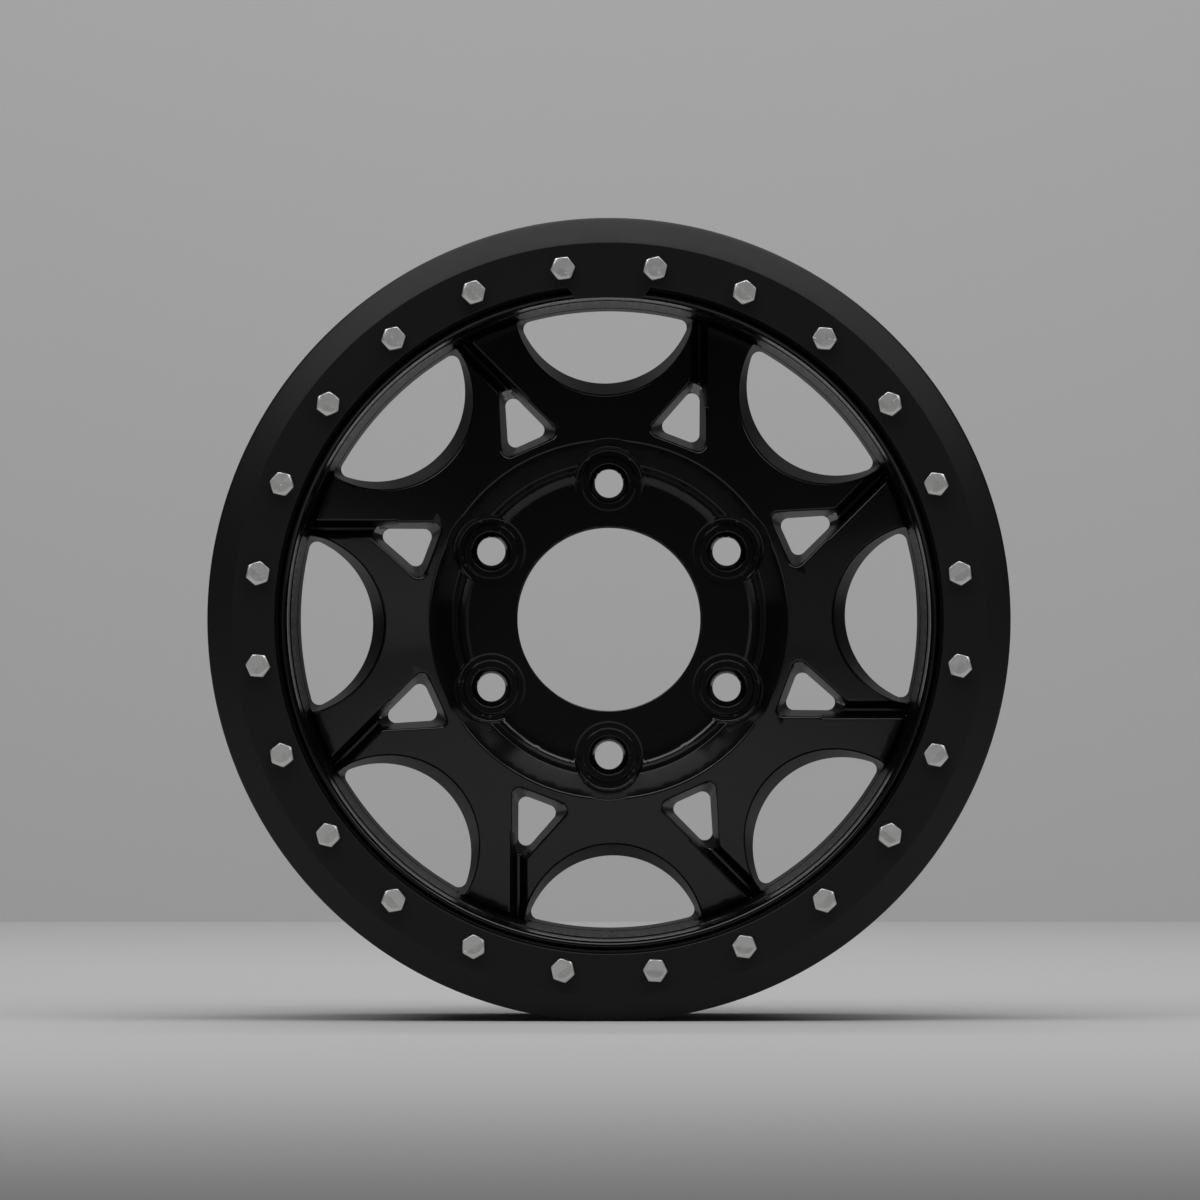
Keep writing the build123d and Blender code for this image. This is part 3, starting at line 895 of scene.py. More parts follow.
def spoke_sector(form, columns):
    """One spoke with half of the window on each side, front, back and through walls."""
    s = form.s
    sector = form.sector
    parts = MeshParts()
    zero = np.zeros(1)

    def window_edge(u, v):
        return form.one_window(u, v, zero)

    def triangle_edge(u, v):
        return form.triangle(u, v, zero)

    middle = (0.0, s.window_outer_radius - 0.014)
    dense = traced(window_edge, middle, np.linspace(math.pi, 0, 1600), 0.09)
    right = resampled(dense, 54, False)
    left = moved(right * (-1, 1), sector)
    bearing = form.triangle_turn
    centre = (s.triangle_radius * math.sin(bearing), s.triangle_radius * math.cos(bearing))
    dense = traced(triangle_edge, centre, np.linspace(0, FULL_TURN, 1500, endpoint=False), 0.06)
    hole = resampled(dense, 56, True)
    bearings = np.linspace(0, sector, columns // s.spoke_count + 1)
    for rear in (False, True):
        shape = form.rear_shape if rear else form.front_shape
        profile = form.rear if rear else form.front
        low, high = (REAR_LOW, REAR_HIGH) if rear else (HEIGHT_LOW, HEIGHT_HIGH)
        join = BARREL_JOIN_RADIUS if rear else LIP_JOIN_RADIUS
        bottom, top = right[:1], right[-1:]
        down = np.array([[0.0, -1.0]])
        inner_line = ray_rows(shape, bottom, down, bottom[0, 1] - HUB_JOIN_RADIUS, low, high, 0.004)[0]
        outer_line = ray_rows(shape, top, -down, join - top[0, 1], low, high, 0.004)[0]
        inner_line = inner_line[:-1]
        outer_line = outer_line[:-1]
        loop = np.concatenate(
            [
                circle_points(HUB_JOIN_RADIUS, bearings),
                moved(inner_line[::-1], sector),
                left,
                moved(outer_line, sector),
                circle_points(join, bearings[::-1]),
                outer_line[::-1],
                right[::-1],
                inner_line,
            ]
        )
        before = len(bearings) + len(inner_line)
        between = 2 * len(outer_line) + len(bearings)
        on_window = np.zeros(len(loop), dtype=bool)
        on_window[before : before + len(left)] = True
        on_window[before + len(left) + between :][: len(right)] = True
        if rear:

            def edge_shape(u, v, h):
                return profile.distance(np.hypot(u, v), h) + s.rear_round

            def edge_heights(points):
                return surface_height(edge_shape, points[:, 0], points[:, 1], low, high)

        else:

            def edge_heights(points):
                return np.full(len(points), s.parting_height)

        heights = surface_height(shape, loop[:, 0], loop[:, 1], low, high)
        heights = np.where(on_window, edge_heights(loop), heights)
        hole_heights = edge_heights(hole)
        families = []
        for line in (right, left):
            away = outward(lambda u, v: form.windows(u, v, np.zeros(len(u))), line)
            radial = line / np.linalg.norm(line, axis=1, keepdims=True)
            lead = (away * radial).sum(axis=1)
            room = (join - np.linalg.norm(line, axis=1)) / np.maximum(lead, 0.05)
            reach = np.minimum(room, 0.0018 if rear else 0.0092)
            families.append(ray_rows(shape, line, away, reach, low, high, part=60 if rear else 19))
        away = outward(lambda u, v: form.triangle(u, v, np.zeros(len(u))), hole)
        around = ray_rows(shape, hole, away, 0.0018 if rear else 0.0062, low, high, part=60 if rear else 19)
        families.append(around + around[:1])
        if not rear:
            stations = np.arange(0.1085, 0.1595, 0.0016)
            spine = np.stack([np.full(len(stations), s.groove_offset), stations], axis=1)
            spine = moved(spine, -s.window_lean)
            across = moved(np.tile([[1.0, 0.0]], (len(stations), 1)), -s.window_lean)
            for side in (1, -1):
                families.append(ray_rows(shape, spine, across * side, 0.0064, low, high))
        families.append(ring_rows(profile.rows(HUB_JOIN_RADIUS, join), 0, sector, bearings[1]))
        rows, links = gathered(families)
        spread = grid_seeds((0, 0.06), (0.12, 0.165), 0.009 if rear else 0.0045)
        spread = thinned(spread, np.concatenate([rows, loop, hole]), 0.0015)
        points, raised, triangles = relief_mesh(
            shape, loop, heights, [hole], [hole_heights], np.concatenate([rows, spread]), links,
            low, high, 1 if rear else 3, 3.0 if rear else 1.9,
        )
        parts.add_relief(points, raised, triangles, SPOKE_REAR if rear else SPOKE_FRONT, rear)
        if rear:
            for line, closed in ((right, False), (left, False), (hole, True)):
                front_heights = np.full(len(line), s.parting_height)
                parts.add_wall(line, front_heights, -edge_heights(line), SPOKE_WALL, closed)
    return parts.mesh("spoke_sector")


def hub_sector(form, lean, columns):
    """One stud's share of the hub, front, back and hole walls."""
    hub = form.h
    parts = MeshParts()
    start = -form.sector / 2 + lean
    bearings = start + np.linspace(0, form.sector, columns // hub.stud_count + 1)
    first = np.array([[math.sin(start), math.cos(start)]])
    around = np.linspace(0, FULL_TURN, 40, endpoint=False)
    hole = circle_points(hub.stud_hole_radius, around) + (0, hub.stud_circle_radius)
    ends = {}
    for rear in (False, True):
        shape = form.rear_shape if rear else form.front_shape
        profile = form.rear if rear else form.front
        low, high = (REAR_LOW, REAR_HIGH) if rear else (0.005, 0.05)
        line = ray_rows(
            shape, first * hub.bore_radius, first, HUB_JOIN_RADIUS - hub.bore_radius, low, high, 0.005
        )[0][:-1]
        loop = np.concatenate(
            [
                circle_points(hub.bore_radius, bearings),
                moved(line, form.sector),
                circle_points(HUB_JOIN_RADIUS, bearings[::-1]),
                line[::-1],
            ]
        )
        heights = surface_height(shape, loop[:, 0], loop[:, 1], low, high)
        bore_height = -form.edge_round if rear else hub.pad_height - form.edge_round
        heights[: len(bearings)] = bore_height
        boss_top = hub.pad_height + hub.boss_rise
        hole_height = -form.hole_round if rear else boss_top - form.seat_depth
        ends[rear] = (bore_height, hole_height)
        away = circle_points(1.0, around)
        rays = ray_rows(shape, hole, away, 0.0012 if rear else 0.0128, low, high)
        step = bearings[1] - bearings[0]
        rings = ring_rows(profile.rows(hub.bore_radius, HUB_JOIN_RADIUS), start, start + form.sector, step)
        families = [rays + rays[:1], rings]
        rows, links = gathered(families)
        spread = grid_seeds((-0.06, 0.02), (0.06, 0.1), 0.006 if rear else 0.004)
        spread = thinned(spread, np.concatenate([rows, loop, hole]), 0.0012)
        points, raised, triangles = relief_mesh(
            shape, loop, heights, [hole], [np.full(len(hole), hole_height)], np.concatenate([rows, spread]),
            links, low, high, 1 if rear else 3, 3.0 if rear else 1.6,
        )
        parts.add_relief(points, raised, triangles, HUB_REAR if rear else HUB_FRONT, rear)
    bore = circle_points(hub.bore_radius, bearings)
    for line, which, closed in ((bore, 0, False), (hole, 1, True)):
        flat = np.ones(len(line))
        parts.add_wall(line, flat * ends[False][which], flat * -ends[True][which], HUB_WALL, closed)
    return parts.mesh("hub_sector")


def barrel_profile(rim, spoke_form):
    """Section of the lip, barrel and flange, from inside the lip round to the rear face."""
    inner = rim.well_radius - rim.barrel_wall
    lip_start = float(np.interp(LIP_JOIN_RADIUS, spoke_form.front.radii, spoke_form.front.heights))
    rear_end = -float(np.interp(BARREL_JOIN_RADIUS, spoke_form.rear.radii, spoke_form.rear.heights))
    hump = rim.seat_inner_height + rim.hump_half_width
    valve_low, valve_high = valve_rows(rim)
    corners = [
        (LIP_JOIN_RADIUS, lip_start, 0),
        (rim.lip_inner_radius, rim.lip_height - 0.0024, rim.lip_round),
        (rim.lip_inner_radius + 0.0012, rim.lip_height, rim.lip_round),
        (rim.lip_outer_radius - 0.0012, rim.lip_height, rim.lip_round),
        (rim.lip_outer_radius, rim.lip_height - 0.0024, rim.lip_round),
        (rim.lip_outer_radius, rim.clamp_height, 0.0003),
        (rim.shoulder_radius, rim.clamp_height, 0.0005),
        (rim.shoulder_radius, rim.stop_height, 0.0015),
        (rim.stop_radius, rim.stop_height, 0.0014),
        (rim.stop_radius, rim.stop_back_height, 0.0014),
        (rim.well_radius, rim.well_front_height, 0.006),
        (rim.well_radius, valve_high, 0),
        (rim.well_radius, valve_low, 0),
        (rim.well_radius, rim.well_back_height, 0.006),
        (rim.seat_inner_radius, hump + rim.hump_half_width, 0.0012),
        (rim.seat_inner_radius + rim.hump_height, hump, 0.0012),
        (rim.seat_inner_radius, rim.seat_inner_height, 0.0012),
        (rim.seat_radius, rim.flange_face, 0.0028),
        (rim.flange_radius, rim.flange_face, 0.0028),
        (rim.flange_radius, rim.flange_back, 0.004),
        (rim.flange_radius - rim.barrel_wall, rim.flange_back, 0.002),
        (rim.seat_inner_radius - rim.barrel_wall, hump, 0.006),
        (inner, rim.well_back_height, 0.006),
        (inner, valve_low, 0),
        (inner, valve_high, 0),
        (inner, rear_end + 0.0008, 0.0007),
        (BARREL_JOIN_RADIUS, rear_end, 0),
    ]
    return rounded_profile(corners, 3)


def valve_rows(rim):
    """Heights of the rows above and below the valve hole."""
    margin = rim.valve_hole_radius + 0.0025
    return rim.valve_hole_height - margin, rim.valve_hole_height + margin


def turned_wedge(points, bearings, region, name):
    """Strip of a turned surface between two bearings."""
    parts = MeshParts()
    count = len(points)
    radii, heights = points[:, 0], points[:, 1]
    columns = [np.stack([radii * math.sin(b), -heights, radii * math.cos(b)], axis=1) for b in bearings]
    faces = []
    for column in range(len(bearings) - 1):
        one, other = column * count, (column + 1) * count
        faces += [(one + i, one + i + 1, other + i + 1, other + i) for i in range(count - 1)]
    parts.add(np.concatenate(columns), faces, region)
    return parts.mesh(name)


def drilled(form, rim, lean):
    """Cuts the valve hole through the well of the barrel."""
    low, high = valve_rows(rim)
    step = FULL_TURN / rim.column_count
    half = math.asin(rim.valve_hole_radius / (rim.well_radius - rim.barrel_wall))
    first = math.floor((-half - lean) / step) * step + lean
    last = math.ceil((half - lean) / step) * step + lean
    region = form.faces.layers.int["region"]
    doomed = []
    for face in form.faces:
        if face[region] != BARREL:
            continue
        centre = face.calc_center_median()
        bearing = math.atan2(centre.x, centre.z)
        if first < bearing < last and low < -centre.y < high and centre.z > 0.1:
            doomed.append(face)
    bmesh.ops.delete(form, geom=doomed, context="FACES")
    loops = []
    count = 40
    turns = np.linspace(0, FULL_TURN, count, endpoint=False)
    across = rim.valve_hole_radius * np.sin(turns)
    along = rim.valve_hole_height + rim.valve_hole_radius * np.cos(turns)
    for radius in (rim.well_radius, rim.well_radius - rim.barrel_wall):
        columns = np.arange(first, last + step / 2, step)
        frame_points = [(b * radius, low) for b in columns] + [(b * radius, high) for b in columns[::-1]]
        hole = list(zip(np.arcsin(across / radius) * radius, along))
        flat = np.array(frame_points + hole)
        n = len(frame_points)
        edges = [(i, (i + 1) % n) for i in range(n)]
        edges += [(n + i, n + (i + 1) % count) for i in range(count)]
        result = delaunay_2d_cdt([tuple(p * MILLIMETRES) for p in flat], edges, [], 0, DRILL_SLACK)
        source = [origin[0] for origin in result[3]]
        triangles = np.array([[source[i] for i in face] for face in result[2]])
        centres = flat[triangles].mean(axis=1)
        triangles = triangles[in_loop(centres, flat[:n]) & ~in_loop(centres, flat[n:])]
        vertices = []
        for arc, height in flat:
            bearing = arc / radius
            vertices.append(form.verts.new((radius * math.sin(bearing), -height, radius * math.cos(bearing))))
        for triangle in triangles:
            form.faces.new([vertices[i] for i in triangle])[region] = BARREL
        loops.append(vertices[n:])
    for i in range(count):
        j = (i + 1) % count
        form.faces.new((loops[0][i], loops[0][j], loops[1][j], loops[1][i]))[region] = VALVE_WALL


# Node trees and finishes
class Sheet:
    """One node tree, with a method that adds a node and wires it."""

    def __init__(self, tree):
        self.tree = tree

    def add(self, kind, settings=None, inputs=None):
        """Adds a node, sets it up, then sets or links its inputs by name or number."""
        node = self.tree.nodes.new(kind)
        for name, value in (settings or {}).items():
            setattr(node, name, value)
        for name, value in (inputs or {}).items():
            self.feed(node.inputs[name], value)
        return node

    def feed(self, socket, value):
        """Links a socket or sets its own value."""
        if isinstance(value, Signal):
            value = value.socket
        if isinstance(value, bpy.types.NodeSocket):
            self.tree.links.new(value, socket)
        else:
            socket.default_value = value


def arithmetic(operation, swapped=False):
    """Operator that adds a Math node, its two values swapped for the reflected form."""

    def operator(self, other):
        first, second = (other, self) if swapped else (self, other)
        node = self.sheet.add("ShaderNodeMath", {"operation": operation}, {0: first, 1: second})
        return Signal(self.sheet, node.outputs[0])

    return operator


class Signal:
    """A socket that can be used in arithmetic, each operation adding a Math node."""

    def __init__(self, sheet, socket):
        self.sheet = sheet
        self.socket = socket

    __add__ = arithmetic("ADD")
    __radd__ = arithmetic("ADD", True)
    __mul__ = arithmetic("MULTIPLY")
    __rmul__ = arithmetic("MULTIPLY", True)
    __truediv__ = arithmetic("DIVIDE")
    __rtruediv__ = arithmetic("DIVIDE", True)


class Finish:
    """A material built from expressions on its surface's own place."""

    def __init__(self, name):
        self.material = bpy.data.materials.new(name)
        self.material.use_nodes = True
        self.material.node_tree.nodes.clear()
        self.sheet = Sheet(self.material.node_tree)
        place = self.sheet.add("ShaderNodeTexCoord")
        self.place = place.outputs["Object"]

    def noise(self, scale, detail, roughness=0.5, stretch=(1, 1, 1)):
        """Smooth noise over the surface, from nought to one."""
        where = self.place
        if stretch != (1, 1, 1):
            mapping = self.sheet.add("ShaderNodeMapping", inputs={"Vector": where, "Scale": stretch})
            where = mapping.outputs[0]
        inputs = {"Vector": where, "Scale": scale, "Detail": detail, "Roughness": roughness}
        node = self.sheet.add("ShaderNodeTexNoise", inputs=inputs)
        return Signal(self.sheet, node.outputs[0])

    def speckle(self, scale):
        """Cells over the surface, as distance from each cell's middle."""
        node = self.sheet.add("ShaderNodeTexVoronoi", inputs={"Vector": self.place, "Scale": scale})
        return Signal(self.sheet, node.outputs["Distance"])

    def blend(self, share, first, second):
        """Colour between two colours."""
        node = self.sheet.add(
            "ShaderNodeMix", {"data_type": "RGBA"}, {0: share, 6: (*first, 1), 7: (*second, 1)}
        )
        return node.outputs[2]

    def bumped(self, height, distance):
        """Normal of a surface raised by a height signal."""
        inputs = {"Height": height, "Distance": distance, "Strength": 1.0}
        return self.sheet.add("ShaderNodeBump", inputs=inputs).outputs[0]

    def shaded(self, **inputs):
        """Ends the material in one shader with the inputs given, words joined by underscores."""
        named = {key.replace("_", " "): value for key, value in inputs.items()}
        shader = self.sheet.add("ShaderNodeBsdfPrincipled", inputs=named)
        self.sheet.add("ShaderNodeOutputMaterial", inputs={"Surface": shader.outputs[0]})
        return self.material


def shade(base, gain):
    """A colour made lighter or darker by one factor."""
    return tuple(min(1.0, part * gain) for part in base)


def gloss_black(colours):
    """Gloss black powder coat: deep black under a clear skin with faint orange peel."""
    finish = Finish("gloss_black_coat")
    cloud = finish.noise(9.0, 3.0)
    peel = finish.noise(420.0, 1.0)
    fine = finish.noise(2600.0, 2.0)
    base = tuple(colours.casting)
    return finish.shaded(
        Base_Color=finish.blend(cloud, shade(base, 0.8), shade(base, 1.25)),
        Roughness=colours.casting_roughness * (0.8 + cloud * 0.4),
        Specular_IOR_Level=0.36,
        Coat_Weight=0.2,
        Coat_Roughness=0.05,
        Normal=finish.bumped(peel + fine * 0.12, 0.000012),
    )


def hole_wall_painted_shade(colours):
    """Black coat on the steep walls of the windows and triangles, duller and with a weaker shine: painted
    shade that stands in for the dark reflections inside these holes.
    """
    finish = Finish("painted_shade_wall_coat")
    grain = finish.noise(900.0, 2.0)
    base = tuple(colours.casting)
    return finish.shaded(
        Base_Color=finish.blend(grain, shade(base, 0.8), shade(base, 1.3)),
        Roughness=0.34 + grain * 0.1,
        Specular_IOR_Level=0.10,
        Normal=finish.bumped(grain, 0.00001),
    )


def satin_black(colours):
    """Satin black coat: fine grain that spreads the light."""
    finish = Finish("satin_black_coat")
    cloud = finish.noise(14.0, 3.0)
    grain = finish.noise(2300.0, 2.0)
    pits = finish.speckle(1500.0)
    base = tuple(colours.ring)
    return finish.shaded(
        Base_Color=finish.blend(grain, shade(base, 0.75), shade(base, 1.35)),
        Roughness=colours.ring_roughness * (0.85 + cloud * 0.3),
        Specular_IOR_Level=0.3,
        Normal=finish.bumped(grain + pits * 0.5, 0.00002),
    )


def bright_zinc(colours):
    """Bright zinc plate on steel with the grind marks of the head showing through."""
    finish = Finish("bright_zinc_plate")
    cloud = finish.noise(260.0, 3.0)
    marks = finish.noise(700.0, 2.0, 0.6, (1.0, 1.0, 9.0))
    base = tuple(colours.zinc)
    return finish.shaded(
        Base_Color=finish.blend(cloud, shade(base, 0.82), shade(base, 1.08)),
        Metallic=0.75,
        Roughness=colours.zinc_roughness * (0.75 + cloud * 0.5),
        Normal=finish.bumped(marks, 0.00002),
    )


def dark_plate(colours):
    """Dark plated washer, turned and slightly grained."""
    finish = Finish("dark_washer_plate")
    grain = finish.noise(1800.0, 2.0)
    base = tuple(colours.washer)
    return finish.shaded(
        Base_Color=finish.blend(grain, shade(base, 0.7), shade(base, 1.4)),
        Metallic=0.6,
        Roughness=0.3 + grain * 0.15,
        Normal=finish.bumped(grain, 0.00001),
    )


# Geometry trees that repeat a sector or a fastener
def new_tree(name, sockets):
    """Empty geometry tree with named inputs, and its input and output nodes."""
    tree = bpy.data.node_groups.new(name, "GeometryNodeTree")
    tree.interface.new_socket("Geometry", in_out="INPUT", socket_type="NodeSocketGeometry")
    for label, kind in sockets:
        tree.interface.new_socket(label, in_out="INPUT", socket_type="NodeSocket" + kind)
    tree.interface.new_socket("Geometry", in_out="OUTPUT", socket_type="NodeSocketGeometry")
    sheet = Sheet(tree)
    return sheet, sheet.add("NodeGroupInput"), sheet.add("NodeGroupOutput")


def stood(sheet, points, instance, rotation):
    """Node that ends copies of a form, stood on points, as real geometry."""
    inputs = {"Points": points, "Instance": instance, "Rotation": rotation}
    placed = sheet.add("GeometryNodeInstanceOnPoints", inputs=inputs)
    return sheet.add("GeometryNodeRealizeInstances", inputs={"Geometry": placed.outputs[0]})


def coated(sheet, geometry, finish, made):
    """Ends a tree in its finish, and gives the tree."""
    last = sheet.add("GeometryNodeSetMaterial", inputs={"Geometry": geometry, "Material": finish})
    sheet.feed(made.inputs[0], last.outputs[0])
    return sheet.tree


def sectors_tree():
    """Tree that repeats one sector about the axle."""
    sheet, given, made = new_tree(
        "Sectors about the axle",
        (("Count", "Int"), ("Start", "Float"), ("Weld", "Float"), ("Finish", "Material")),
    )
    count = Signal(sheet, given.outputs["Count"])
    index = Signal(sheet, sheet.add("GeometryNodeInputIndex").outputs[0])
    turn = index * FULL_TURN / count + Signal(sheet, given.outputs["Start"])
    rotation = sheet.add("ShaderNodeCombineXYZ", inputs={"Y": turn})
    points = sheet.add("GeometryNodePoints", inputs={"Count": count})
    real = stood(sheet, points.outputs[0], given.outputs["Geometry"], rotation.outputs[0])
    welded = sheet.add(
        "GeometryNodeMergeByDistance", inputs={"Geometry": real.outputs[0], "Distance": given.outputs["Weld"]}
    )
    return coated(sheet, welded.outputs[0], given.outputs["Finish"], made)


def circle_tree():
    """Tree that stands copies of a fastener on the points it is given, each with its own turn."""
    sheet, given, made = new_tree("Fasteners on a circle", (("Fastener", "Object"), ("Finish", "Material")))
    turn = sheet.add("GeometryNodeInputNamedAttribute", {"data_type": "FLOAT"}, {"Name": "turn"})
    rotation = sheet.add("ShaderNodeCombineXYZ", inputs={"Y": turn.outputs[0]})
    source = sheet.add("GeometryNodeObjectInfo", inputs={"Object": given.outputs["Fastener"]})
    real = stood(sheet, given.outputs["Geometry"], source.outputs["Geometry"], rotation.outputs[0])
    return coated(sheet, real.outputs[0], given.outputs["Finish"], made)


def grown(name, mesh, tree, values):
    """Plain mesh that a tree makes from a mesh, with the tree's inputs set by their names."""
    helper = bpy.data.objects.new(name + "_helper", mesh)
    bpy.context.scene.collection.objects.link(helper)
    modifier = helper.modifiers.new("Pattern", "NODES")
    modifier.node_group = tree
    for item in tree.interface.items_tree:
        if item.in_out == "INPUT" and item.name in values:
            modifier[item.identifier] = values[item.name]
    depsgraph = bpy.context.evaluated_depsgraph_get()
    made = bpy.data.meshes.new_from_object(helper.evaluated_get(depsgraph))
    bpy.data.objects.remove(helper)
    made.name = name
    return made


def stand(name, mesh, finish, node):
    """Puts a finished mesh in the scene in the place of a CAD node."""
    mesh.materials.clear()
    mesh.materials.append(finish)
    piece = bpy.data.objects.new(name, mesh)
    bpy.context.scene.collection.objects.link(piece)
    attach(piece, "root")
    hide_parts(node)


# Welding, and the true normal at each corner
def check_closed(form, name):
    """Stops the script if a mesh that should be closed is open."""
    loose = [edge for edge in form.edges if len(edge.link_faces) != 2]
    if loose:
        place = tuple(loose[0].verts[0].co)
        raise RuntimeError("%s has %d open edges, one at %s" % (name, len(loose), place))


def welded_mesh(name, meshes, finishing=None):
    """Joins meshes, welds what meets and turns every face outwards."""
    form = bmesh.new()
    for mesh in meshes:
        form.from_mesh(mesh)
    if finishing:
        finishing(form)
    bmesh.ops.remove_doubles(form, verts=form.verts, dist=4 * MICRON)
    bmesh.ops.dissolve_degenerate(form, edges=form.edges, dist=MICRON)
    check_closed(form, name)
    bmesh.ops.recalc_face_normals(form, faces=form.faces)
    joined = bpy.data.meshes.new(name)
    form.to_mesh(joined)
    form.free()
    return joined


def values_of(items, name, kind, width=1):
    """One value of each item of a mesh, in an array."""
    values = np.empty(len(items) * width, dtype=kind)
    items.foreach_get(name, values)
    return values.reshape(-1, width) if width > 1 else values


def steep_faces(mesh, regions):
    """Marks with a one the faces of some regions that stand nearly along the axle."""
    numbers = values_of(mesh.attributes["region"].data, "value", int)
    normals = values_of(mesh.polygons, "normal", float, 3)
    steep = np.abs(normals[:, 1]) < STEEP_NORMAL
    return (np.isin(numbers, regions) & steep).astype(np.int32)


def set_corner_normals(mesh, rules):
    """Gives each corner the true normal of the surface that its region follows."""
    places = values_of(mesh.vertices, "co", float, 3)
    corners = values_of(mesh.loops, "vertex_index", int)
    totals = values_of(mesh.polygons, "loop_total", int)
    regions = np.repeat(values_of(mesh.attributes["region"].data, "value", int), totals)
    normals = np.zeros((len(corners), 3))
    for region in np.unique(regions):
        here = np.nonzero(regions == region)[0]
        used, back = np.unique(corners[here], return_inverse=True)
        normals[here] = rules[region](places[used])[back]
    mesh.polygons.foreach_set("use_smooth", np.ones(len(mesh.polygons), dtype=bool))
    mesh.normals_split_custom_set(normals.tolist())


def turned_back(x, y, z, turns):
    """Normals found in the first sector, turned clockwise to where they belong."""
    c, s = np.cos(turns), np.sin(turns)
    return np.stack([x * c + z * s, y, z * c - x * s], axis=1)


def flat_back(places):
    """Normals of a flat face that looks to the rear."""
    return np.tile([[0.0, 1.0, 0.0]], (len(places), 1))


def relief_rule(shape, sector, start, facing_rear, lean=0.0):
    """Normals on copies of a sector's relief, the whole pattern leaned by an angle."""

    def rule(places):
        sign = 1 if facing_rear else -1
        u, v, turns = folded(*turned(places[:, 0], places[:, 2], lean), sector, start)
        n = surface_normal(shape, u, v, sign * places[:, 1])
        return turned_back(n[:, 0], sign * n[:, 2], n[:, 1], turns + lean)

    return rule


def wall_rule(outside, sector, start, lean=0.0):
    """Normals on copies of a sector's upright walls, which face into the hole."""

    def rule(places):
        u, v, turns = folded(*turned(places[:, 0], places[:, 2], lean), sector, start)
        d = outward(outside, np.stack([u, v], axis=1))
        return turned_back(-d[:, 0], 0 * d[:, 0], -d[:, 1], turns + lean)

    return rule


def profile_rule(points, normals):
    """Normals on a turned surface, read from its section."""

    def rule(places):
        r = np.hypot(places[:, 0], places[:, 2])
        spot = np.stack([r, -places[:, 1]], axis=1)
        best = np.full(len(spot), np.inf)
        found = np.zeros((len(spot), 2))
        for i in range(len(points) - 1):
            along = points[i + 1] - points[i]
            share = ((spot - points[i]) @ along) / max(along @ along, 1e-16)
            share = np.clip(share, 0, 1)[:, None]
            gap = np.linalg.norm(spot - points[i] - share * along, axis=1)
            nearer = gap < best
            best = np.where(nearer, gap, best)
            found[nearer] = (normals[i] + share * (normals[i + 1] - normals[i]))[nearer]
        found /= np.linalg.norm(found, axis=1, keepdims=True)
        x = places[:, 0] / r * found[:, 0]
        z = places[:, 2] / r * found[:, 0]
        return np.stack([x, -found[:, 1], z], axis=1)

    return rule


def valve_rule(rim):
    """Normals in the valve hole, which face its axis."""

    def rule(places):
        d = np.stack([-places[:, 0], -(places[:, 1] + rim.valve_hole_height), 0 * places[:, 0]], axis=1)
        return d / np.linalg.norm(d, axis=1, keepdims=True)

    return rule


# Pieces, each built by its own operator
class WheelPiece:
    """What every operator that builds a piece has in common."""

    bl_options = {"REGISTER", "UNDO"}


class WHEEL_OT_casting(WheelPiece, bpy.types.Operator):
    """Build the casting: hub, spokes, barrel and lip in one closed mesh"""

    bl_idname = "wheel.casting"
    bl_label = "Casting"

    def execute(self, context):
        scene = context.scene
        hub, spokes, rim = scene.wheel_hub, scene.wheel_spokes, scene.wheel_rim
        spoke_form = SpokeForm(spokes, rim)
        hub_form = HubForm(hub, spoke_form)
        lean = spokes.window_lean
        columns = rim.column_count
        points, normals = barrel_profile(rim, spoke_form)
        step = FULL_TURN / columns
        finish = gloss_black(scene.wheel_finish)
        tree = sectors_tree()
        shared = {"Weld": 2 * MICRON, "Finish": finish}
        spoke_mesh = spoke_sector(spoke_form, columns)
        hub_mesh = hub_sector(hub_form, lean, columns)
        wedge = turned_wedge(points, (0, step), BARREL, "barrel_wedge")
        meshes = [
            grown("spokes", spoke_mesh, tree, {"Count": spokes.spoke_count, "Start": lean, **shared}),
            grown("hub", hub_mesh, tree, {"Count": hub.stud_count, "Start": 0.0, **shared}),
            grown("barrel", wedge, tree, {"Count": columns, "Start": lean, **shared}),
        ]
        casting = welded_mesh("casting", meshes, lambda form: drilled(form, rim, lean))
        flat = np.zeros(1)

        def spoke_holes(u, v):
            return np.minimum(spoke_form.windows(u, v, flat), spoke_form.triangle(u, v, flat))

        def hub_holes(u, v):
            bore = np.hypot(u, v) - hub.bore_radius
            stud = hub_form.stud(u, v) - hub.stud_hole_radius
            return np.where(np.abs(bore) < 0.002, bore, stud)

        half = -hub_form.sector / 2
        rules = {
            SPOKE_FRONT: relief_rule(spoke_form.front_shape, spoke_form.sector, 0.0, False, lean),
            SPOKE_REAR: relief_rule(spoke_form.rear_shape, spoke_form.sector, 0.0, True, lean),
            SPOKE_WALL: wall_rule(spoke_holes, spoke_form.sector, 0.0, lean),
            HUB_FRONT: relief_rule(hub_form.front_shape, hub_form.sector, half, False),
            HUB_REAR: relief_rule(hub_form.rear_shape, hub_form.sector, half, True),
            HUB_WALL: wall_rule(hub_holes, hub_form.sector, half),
            BARREL: profile_rule(points, normals),
            VALVE_WALL: valve_rule(rim),
        }
        # Steep walls of the spokes' holes and grooves take the duller coat, painted shade for the dark
        # reflections there
        painted_shade_walls = steep_faces(casting, (SPOKE_FRONT, SPOKE_REAR, SPOKE_WALL))
        set_corner_normals(casting, rules)
        stand("finished_casting", casting, finish, "wheel")
        casting.materials.append(hole_wall_painted_shade(scene.wheel_finish))
        casting.polygons.foreach_set("material_index", painted_shade_walls)
        casting.update()
        return {"FINISHED"}


